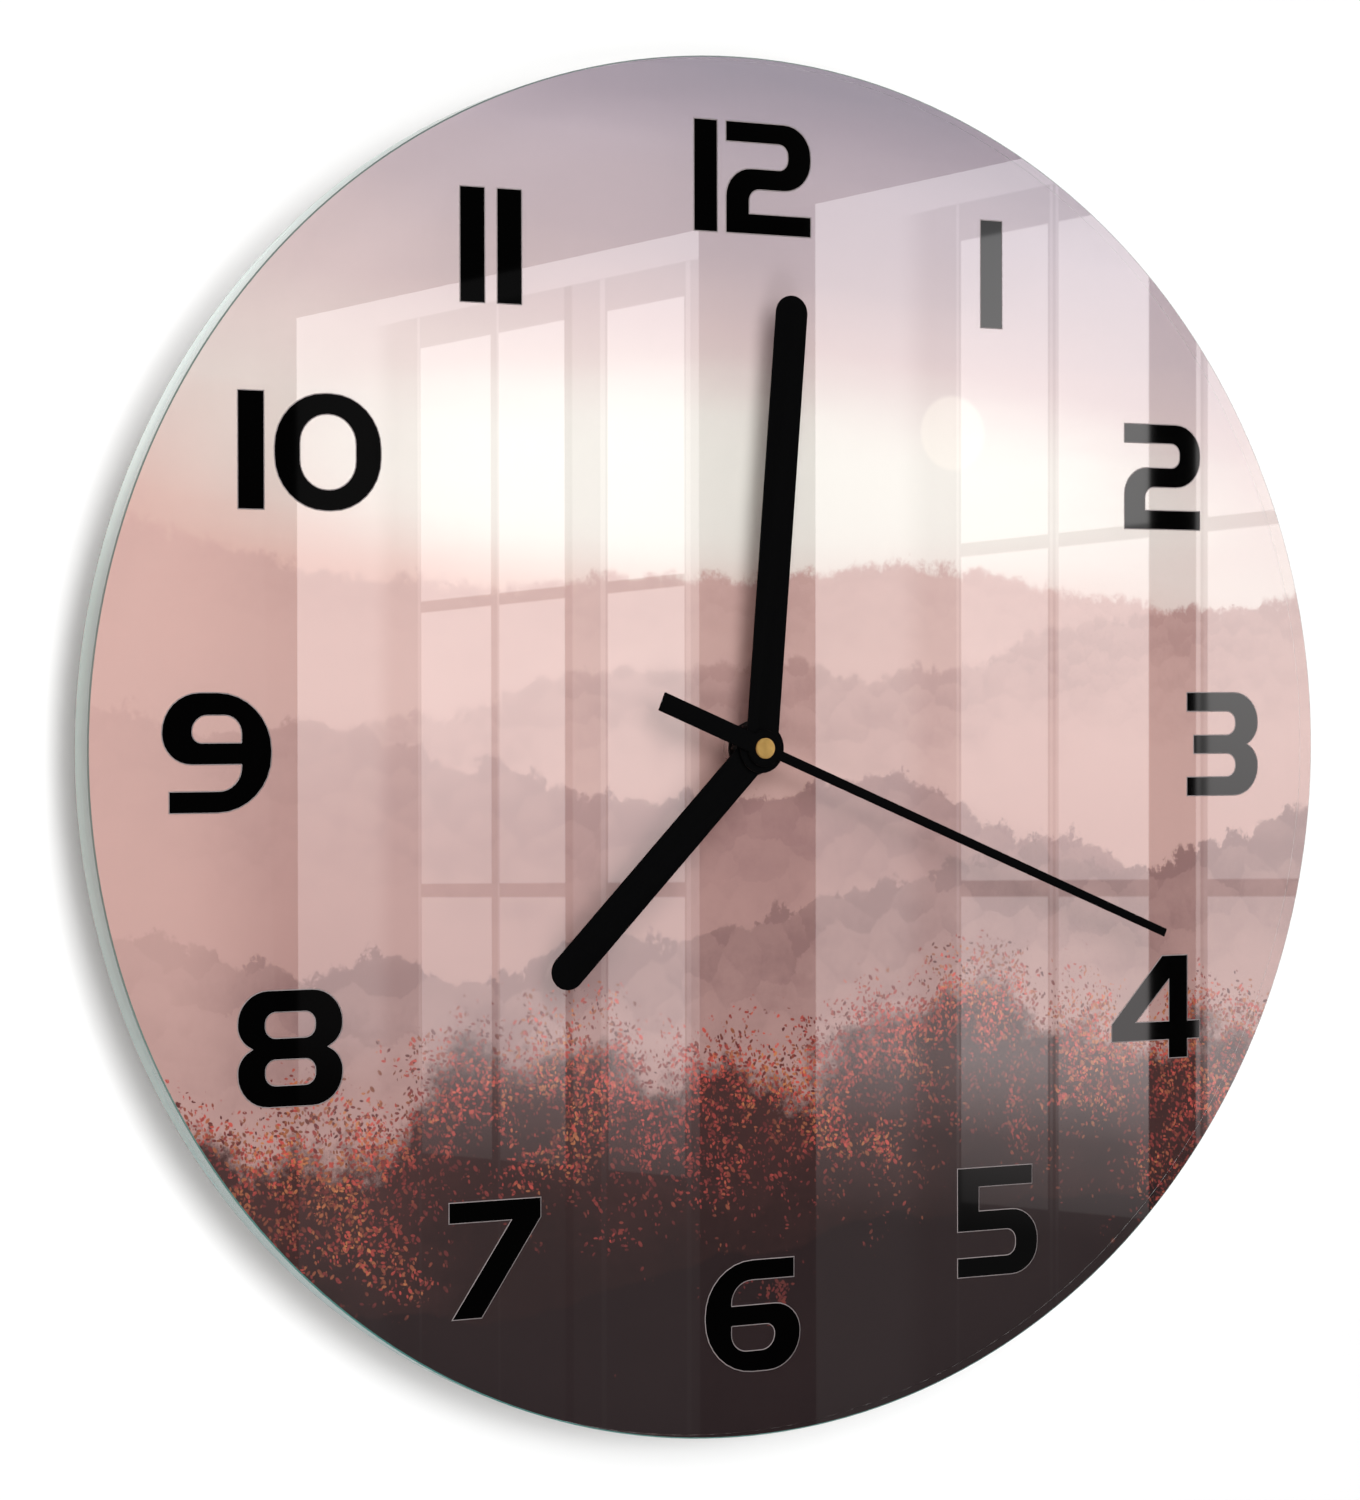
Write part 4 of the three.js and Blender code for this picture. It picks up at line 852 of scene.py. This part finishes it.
def buildCap():
    # Slightly dished face with a rolled rim
    low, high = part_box("second_hand_collet")
    front, rear = low.y, high.y
    outer = (high.x - low.x) / 2
    flange, stem, bore, pip = front + capLook["flange"], capLook["stem"], capLook["bore"], capLook["pip"]
    bm = turnedRing([
        (pip, front + 0.12 * mm),
        (outer - 0.75 * mm, front + 0.10 * mm),
        (outer - 0.5 * mm, front + 0.02 * mm),
        (outer - 0.3 * mm, front),
        (outer - 0.1 * mm, front + 0.06 * mm),
        (outer, front + 0.2 * mm),
        (outer, flange),
        (stem, flange),
        (stem, rear),
        (bore, rear),
        (bore, flange),
        (pip, flange),
    ], capLook["steps"])
    mesh = meshOf("second_hand_cap", bm, smoothAngle=40)
    finished("second_hand_cap", mesh, "second_hand_collet", [capMaterial()])


buildCap()
print("hands built")


# Finishes of the movement, hanger and clamp

def plasticMaterial(name, colour, roughness, grainScale=2600.0, grainDepth=0.25):
    shader = Shader(name)
    grain = shader.noise(shader.point(), grainScale, detail=4.0, roughness=0.6)
    cloud = shader.noise(shader.point(), 120.0, detail=2.0)
    shade = tuple(0.7 * value + 0.004 for value in colour)
    base = shader.mix(cloud * 0.6 + grain * 0.3, colour, shade)
    return shader.use(
        Base_Color=base, Roughness=roughness - 0.08 + grain * 0.2,
        Normal=shader.bump(grain, grainDepth, 0.00005))


def metalMaterial(name, colour, roughness, stretch=(1.0, 1.0, 30.0), depth=0.12):
    # Rolled or drawn metal, with fine lines along one direction
    shader = Shader(name, **{"Metallic": 1.0})
    mapped = shader.node("Mapping", inputs={"Vector": shader.point(), "Scale": stretch})
    lines = shader.noise(mapped, 160.0, detail=5.0, roughness=0.65)
    cloud = shader.noise(shader.point(), 90.0, detail=3.0)
    base = shader.mix(lines * 0.5 + cloud * 0.3, colour, tuple(0.72 * value for value in colour))
    return shader.use(
        Base_Color=base, Roughness=roughness - 0.1 + lines * 0.2 + cloud * 0.1,
        Normal=shader.bump(lines, depth, 0.00005))


def zincMaterial():
    # Zinc plate with a faint spangle
    shader = Shader("zincPlate", **{"Metallic": 1.0})
    spangle = shader.node("SeparateColor", inputs={
        0: shader.cells(shader.point(), 420.0, output="Color")}, output="Green")
    cloud = shader.noise(shader.point(), 260.0, detail=4.0)
    base = shader.mix(spangle * 0.5 + cloud * 0.4, (0.60, 0.62, 0.64), (0.42, 0.44, 0.47))
    return shader.use(
        Base_Color=base, Roughness=0.26 + spangle * 0.14 + cloud * 0.1,
        Normal=shader.bump(cloud, 0.15, 0.00005))


def rubberMaterial(name, colour):
    shader = Shader(name, **{"Specular IOR Level": 0.3})
    pores = shader.cells(shader.point(), 1500.0)
    cloud = shader.noise(shader.point(), 200.0, detail=3.0)
    base = shader.mix(cloud, colour, tuple(1.5 * value + 0.004 for value in colour))
    return shader.use(
        Base_Color=base, Roughness=0.72 + cloud * 0.2, Normal=shader.bump(pores, 0.3, 0.00008))


# The darker colour between the turns is painted shade
windingLook = {"pitch": 0.22 * mm, "groove": (0.30, 0.10, 0.04), "wire": (0.72, 0.30, 0.14)}


def copperMaterial():
    # Turns of fine enamelled wire round the bobbin, with painted shade in the grooves between them
    shader = Shader("copperTurns", **{"Metallic": 0.85})
    x = shader.axes()[0]
    turn = shader.calc("SINE", x * (math.tau / windingLook["pitch"])) * 0.5 + 0.5
    speck = shader.noise(shader.point(), 900.0)
    base = shader.mix(turn * 0.6 + speck * 0.3, windingLook["groove"], windingLook["wire"])
    normal = shader.bump(turn, 0.6, 0.00006)
    return shader.use(Base_Color=base, Roughness=0.3 + speck * 0.15, Normal=normal)


cellLook = {
    "crown": 9 * mm,  # the shoulder's length from the cell's positive end
    "cap": 0.9 * mm,
    "nub": 1 * mm,
    "sleeve": (tone(34, 48, 74), tone(44, 60, 90)),
    "shoulder": ((0.62, 0.33, 0.17), (0.70, 0.40, 0.22)),
    "steel": ((0.62, 0.63, 0.64), (0.50, 0.51, 0.53)),
}


def cellMaterial():
    # Plain printed sleeve with a copper shoulder, and bare steel ends
    low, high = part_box("battery_cell")
    shader = Shader("cellSleeve", **{"Coat Roughness": 0.1})
    x = shader.axes()[0]
    speck = shader.noise(shader.point(), 700.0, detail=3.0)
    right = high.x - cellLook["nub"]
    crownAt, capAt, footAt = right - cellLook["crown"], right - cellLook["cap"], low.x + cellLook["cap"]
    crown = shader.between(x, crownAt, crownAt + 0.1 * mm)
    ends = shader.between(x, capAt, capAt + 0.05 * mm) + shader.between(x, footAt, footAt - 0.05 * mm)
    sleeve, shoulder, steel = [
        shader.mix(speck, *cellLook[part]) for part in ("sleeve", "shoulder", "steel")]
    base = shader.mix(ends, shader.mix(crown, sleeve, shoulder), steel)
    metallic = shader.calc("MAXIMUM", crown * 0.8, ends)
    return shader.use(
        Base_Color=base, Metallic=metallic, Roughness=0.26 + speck * 0.12, Coat_Weight=(1 - ends) * 0.5)


boardLook = {
    "lanes": 520.0,  # tracks in a metre across, and breaks in a metre up
    "breaks": 310.0,
    "slant": 0.35,
    "laminate": (tone(98, 66, 34), tone(122, 86, 46)),
    "track": (0.62, 0.52, 0.34),
}


def boardMaterial():
    # Brown laminate with tinned tracks
    shader = Shader("circuitLaminate")
    x, _, z = shader.axes()
    lane = shader.calc("FRACT", (x + z * boardLook["slant"]) * boardLook["lanes"])
    step = shader.calc("FRACT", z * boardLook["breaks"])
    track = shader.between(lane, 0.62, 0.66) * shader.between(step, 0.12, 0.16)
    weave = shader.noise(shader.point(), 1600.0, detail=3.0)
    base = shader.mix(track, shader.mix(weave, *boardLook["laminate"]), boardLook["track"])
    return shader.use(
        Base_Color=base, Metallic=track * 0.9, Roughness=0.5 - track * 0.2 + weave * 0.1,
        Normal=shader.bump(track, 0.3, 0.00004))


casePlastic = plasticMaterial("casePlastic", tone(30, 31, 33), 0.46)
wheelPlastic = plasticMaterial("wheelPlastic", tone(226, 223, 214), 0.38, 1500.0, 0.1)
chipResin = plasticMaterial("chipResin", tone(20, 20, 22), 0.25, 500.0, 0.1)
zincPlate = zincMaterial()
brassRod = metalMaterial("brassRod", (0.80, 0.58, 0.26), 0.3, (1.0, 30.0, 1.0))
blackBrass = metalMaterial("blackBrass", (0.045, 0.042, 0.040), 0.38)
coreSteel = metalMaterial("coreSteel", (0.34, 0.35, 0.37), 0.42)
nickelStrip = metalMaterial("nickelStrip", (0.66, 0.64, 0.60), 0.28, (30.0, 1.0, 1.0))
magnetGrey = metalMaterial("magnetGrey", (0.16, 0.16, 0.17), 0.45, (1.0, 12.0, 1.0))
padRubber = rubberMaterial("padRubber", tone(26, 26, 27))
foamTape = rubberMaterial("foamTape", tone(214, 212, 205))

softPieces = {
    "movement_front_case": (0.25, casePlastic, "case_plastic"),
    "movement_rear_cover": (0.25, casePlastic, "case_plastic"),
    "setting_knob": (0.10, casePlastic, "case_plastic"),
    "hanger_bracket": (0.12, zincPlate, "zinc_steel"),
    "hex_nut": (0.10, blackBrass, "black_brass"),
    "dial_washer": (0.06, blackBrass, "black_brass"),
    "battery_cell": (0.20, cellMaterial(), "battery_sleeve"),
    "spacer_pad_left": (0.30, padRubber, "rubber"),
    "spacer_pad_right": (0.30, padRubber, "rubber"),
}
for node, (edge, material, slot) in softPieces.items():
    softened(node, edge * mm, material)

plainPieces = {
    "pad_tape_left": foamTape,
    "pad_tape_right": foamTape,
    "sealing_washer": padRubber,
    "threaded_bush": brassRod,
    "middle_plate": wheelPlastic,
    "stator": coreSteel,
    "coil_core": coreSteel,
    "coil_bobbin": wheelPlastic,
    "coil_winding": copperMaterial(),
    "rotor_pinion": wheelPlastic,
    "rotor_magnet": magnetGrey,
    "fifth_wheel": wheelPlastic,
    "second_wheel": wheelPlastic,
    "third_wheel": wheelPlastic,
    "centre_wheel": wheelPlastic,
    "clutch_spring": nickelStrip,
    "minute_arbor": brassRod,
    "minute_wheel": wheelPlastic,
    "hour_wheel": wheelPlastic,
    "positive_contact": nickelStrip,
    "negative_contact": nickelStrip,
    "circuit_board": boardMaterial(),
    "control_chip": chipResin,
    "quartz_crystal": nickelStrip,
}
for node, material in plainPieces.items():
    nodes[node].data.materials.clear()
    nodes[node].data.materials.append(material)
print("movement finished:", len(softPieces) + len(plainPieces), "nodes")


# Room: white wall and pale floor, daylight from windows on the right

room = {
    "wall": 6.0,
    "gap": 0.15 * mm,  # between the clock's rear and the wall
    "floorDrop": 1.8,
    "white": (0.96, 0.96, 0.96),
    "floor": (0.72, 0.70, 0.67),
    "sky": 0.04,  # light of the room at large
    "backdrop": 0.9,  # what the camera sees past the wall
}


def wallMaterial():
    # A one-sided wall, so that the clock's back can be looked at
    shader = Shader("wallPaint", **{"Specular IOR Level": 0.1})
    grain = shader.noise(shader.point(), 30.0, detail=3.0)
    base = shader.mix(grain, room["white"], tuple(0.985 * value for value in room["white"]))
    shader.use(Base_Color=base, Roughness=0.8 + grain * 0.1)
    behind = shader.node("NewGeometry", output="Backfacing")
    clear = shader.node("BsdfTransparent")
    surface = shader.node("MixShader", inputs={
        0: behind, 1: Signal(shader, shader.surface.outputs[0]), 2: clear})
    shader.tree.links.new(surface.socket, shader.tree.nodes["Material Output"].inputs["Surface"])
    return shader.material


def addSheet(name, corners, material):
    bm = bmesh.new()
    bm.faces.new([bm.verts.new(corner) for corner in corners])
    sheet = bpy.data.objects.new(name, meshOf(name, bm))
    sheet.data.materials.append(material)
    bpy.context.scene.collection.objects.link(sheet)
    return sheet


def floorMaterial():
    shader = Shader("paleFloor")
    grain = shader.noise(shader.point(), 12.0, detail=4.0)
    base = shader.mix(grain, room["floor"], tuple(0.94 * value for value in room["floor"]))
    return shader.use(Base_Color=base, Roughness=0.6 + grain * 0.15)


def addRoom():
    deep, half, drop, back = room["wall"], room["wall"] / 2, room["floorDrop"], room["gap"]
    wallCorners = [(-half, back, -drop), (half, back, -drop), (half, back, half), (-half, back, half)]
    wall = addSheet("wall", wallCorners, wallMaterial())
    wall.visible_shadow = False  # so that the rear lamp reaches the clock's back
    floorCorners = [(-half, -deep, -drop), (half, -deep, -drop), (half, back, -drop), (-half, back, -drop)]
    floor = addSheet("floor", floorCorners, floorMaterial())
    floor.visible_glossy = floor.visible_diffuse = False  # no bright floor in the glass or under it
    world = bpy.data.worlds.new("daylight")
    world.use_nodes = True
    world.cycles_visibility.transmission = False  # the print has its light from the lamps
    sky = world.node_tree.nodes["Background"]
    sky.inputs["Color"].default_value = (1, 1, 1, 1)
    seen = world.node_tree.nodes.new("ShaderNodeLightPath")
    level = world.node_tree.nodes.new("ShaderNodeMapRange")
    level.inputs["To Min"].default_value = room["sky"]
    level.inputs["To Max"].default_value = room["backdrop"]
    world.node_tree.links.new(seen.outputs["Is Camera Ray"], level.inputs["Value"])
    world.node_tree.links.new(level.outputs[0], sky.inputs["Strength"])
    bpy.context.scene.world = world


addRoom()

# The window wall in its own plane, s towards the back of the room and t up, in metres.
windowWall = {
    "origin": (1.02736, -1.94593, -0.06582),
    "along": (-0.19374, -0.98030, -0.03850),
    "up": (-0.00746, -0.03777, 0.99926),
    "foot": -0.75,
    "top": 0.419,
    "lean": 0.04,  # of the uprights, sideways for each metre of height
    "light": 2.4,  # of the panes; the rest are shares of it
    "wallShare": 0.70,
    "frameShare": 0.42,
    "darkShare": 0.22,
    "glint": 0.62,
    "recess": 0.6,
    "soft": 0.002,
    "spare": 0.05,  # of the sheet past its bays
    "bays": [  # wall, reveal and frame end at these places along the wall
        {"wall": (0.067, 0.666), "frame": (0.073, 0.498), "reveal": (0.545, 0.500),
         "panes": [(0.356, 0.463), (0.249, 0.344), (0.086, 0.189)], "dark": [(0.238, 0.249)],
         "glints": [(0.464, 0.468), (0.192, 0.199), (0.078, 0.084), (0.344, 0.347)]},
        {"wall": (-0.4405, -0.078), "frame": (-0.4405, -0.219), "reveal": (-0.170, -0.216),
         "panes": [(-0.338, -0.245), (-0.440, -0.349)], "dark": [],
         "glints": [(-0.243, -0.240), (-0.349, -0.346), (-0.343, -0.340)]},
        {"wall": (-0.900, -0.486), "frame": (-0.900, -0.488), "reveal": (-0.4, -0.3),
         "panes": [(-0.640, -0.497)], "dark": [(-0.493, -0.490)], "glints": [(-0.490, -0.487)]},
    ],
    "frameTop": 0.394,
    "paneRows": [(0.144, 0.368), (-0.106, 0.134), (-0.345, -0.118)],
    "fade": [  # tint and share of the light from the foot of the wall to its top
        (0.0, (0.03, 0.03, 0.03)),
        (0.33, (0.05, 0.05, 0.05)),
        (0.39, (0.22, 0.20, 0.20)),
        (0.44, (0.62, 0.58, 0.58)),
        (0.58, (0.68, 0.65, 0.65)),
        (0.70, (0.92, 0.90, 0.89)),
        (0.90, (1.0, 0.98, 0.98)),
        (1.0, (0.86, 0.86, 0.88)),
    ],
}


def windowMaterial():
    wall = windowWall
    shader = Shader("windowGlow", **{
        "Base Color": (0, 0, 0), "Specular IOR Level": 0.0, "Emission Strength": wall["light"]})
    s, t, _ = shader.axes()
    s = s + t * wall["lean"]
    rows = sum(shader.band(t, low, high) for low, high in wall["paneRows"])
    under = shader.between(t, wall["frameTop"] + 0.003, wall["frameTop"])
    glow = 0.0
    for bay in wall["bays"]:
        far, near = bay["reveal"]
        recess = shader.between(s, far, near) * under
        share = wall["wallShare"] - recess * (wall["wallShare"] - wall["darkShare"]) * wall["recess"]
        frame = shader.band(s, *bay["frame"], wall["soft"]) * under
        share = share + frame * (wall["frameShare"] - share)
        for low, high in bay["dark"]:
            gap = shader.band(s, low, high, wall["soft"]) * under
            share = share + gap * (wall["darkShare"] - share)
        for low, high in bay["glints"]:
            share = share + shader.band(s, low, high) * under * (wall["glint"] - share)
        panes = sum(shader.band(s, low, high) for low, high in bay["panes"]) * rows
        share = share + panes * (1.0 - share)
        glow = glow + share * shader.band(s, *bay["wall"])
    height = (t - wall["foot"]) * (1 / (wall["top"] - wall["foot"]))
    fade = shader.ramp(height, wall["fade"])
    return shader.use(Emission_Color=shader.mix(glow, (0, 0, 0), fade))


def addWindows():
    along, up = Vector(windowWall["along"]), Vector(windowWall["up"])
    turn = Matrix((along, up, along.cross(up))).transposed().to_4x4()
    low = min(bay["wall"][0] for bay in windowWall["bays"]) - windowWall["spare"]
    high = max(bay["wall"][1] for bay in windowWall["bays"]) + windowWall["spare"]
    foot, top = windowWall["foot"], windowWall["top"]
    corners = [(low, foot, 0), (high, foot, 0), (high, top, 0), (low, top, 0)]
    sheet = addSheet("windowWall", corners, windowMaterial())
    sheet.matrix_world = Matrix.Translation(windowWall["origin"]) @ turn
    sheet.visible_camera = sheet.visible_shadow = sheet.visible_diffuse = False


addWindows()

lamps = {
    # Azimuth and elevation are in degrees, seen from the dial. The three soft lamps in front
    # stay out of the glass's mirror image, which they would wash out in the straight view.
    "high": {
        "azimuth": -14, "elevation": 24, "distance": 4.0, "size": (1.85, 1.85), "power": 65,
        "mirrored": False,
    },
    "middle": {
        "azimuth": -4, "elevation": 7, "distance": 4.0, "size": (1.55, 2.15), "power": 82,
        "mirrored": False,
    },
    "low": {
        "azimuth": -12, "elevation": -24, "distance": 2.6, "size": (0.9, 1.2), "power": 16.5,
        "mirrored": False,
    },
    "fillLeft": {
        "azimuth": -43, "elevation": 5, "distance": 2.6, "size": (1.0, 1.0), "power": 2,
        "mirrored": True,
    },
    "rear": {
        "azimuth": 200, "elevation": 30, "distance": 2.6, "size": (1.4, 1.4), "power": 60,
        "mirrored": True,
    },
}


def addLamps():
    for name, lamp in lamps.items():
        way = wayTo(lamp["azimuth"], lamp["elevation"])
        data = bpy.data.lights.new(name, "AREA")
        data.shape = "ELLIPSE"
        data.size, data.size_y = lamp["size"]
        data.energy = lamp["power"]
        light = bpy.data.objects.new(name, data)
        light.location = dialCentre + way * lamp["distance"]
        light.rotation_euler = way.to_track_quat("Z", "Y").to_euler()
        light.visible_transmission = False
        light.visible_glossy = lamp["mirrored"]
        bpy.context.scene.collection.objects.link(light)


addLamps()
bpy.context.scene.view_settings.view_transform = "Standard"
print("room and light set")
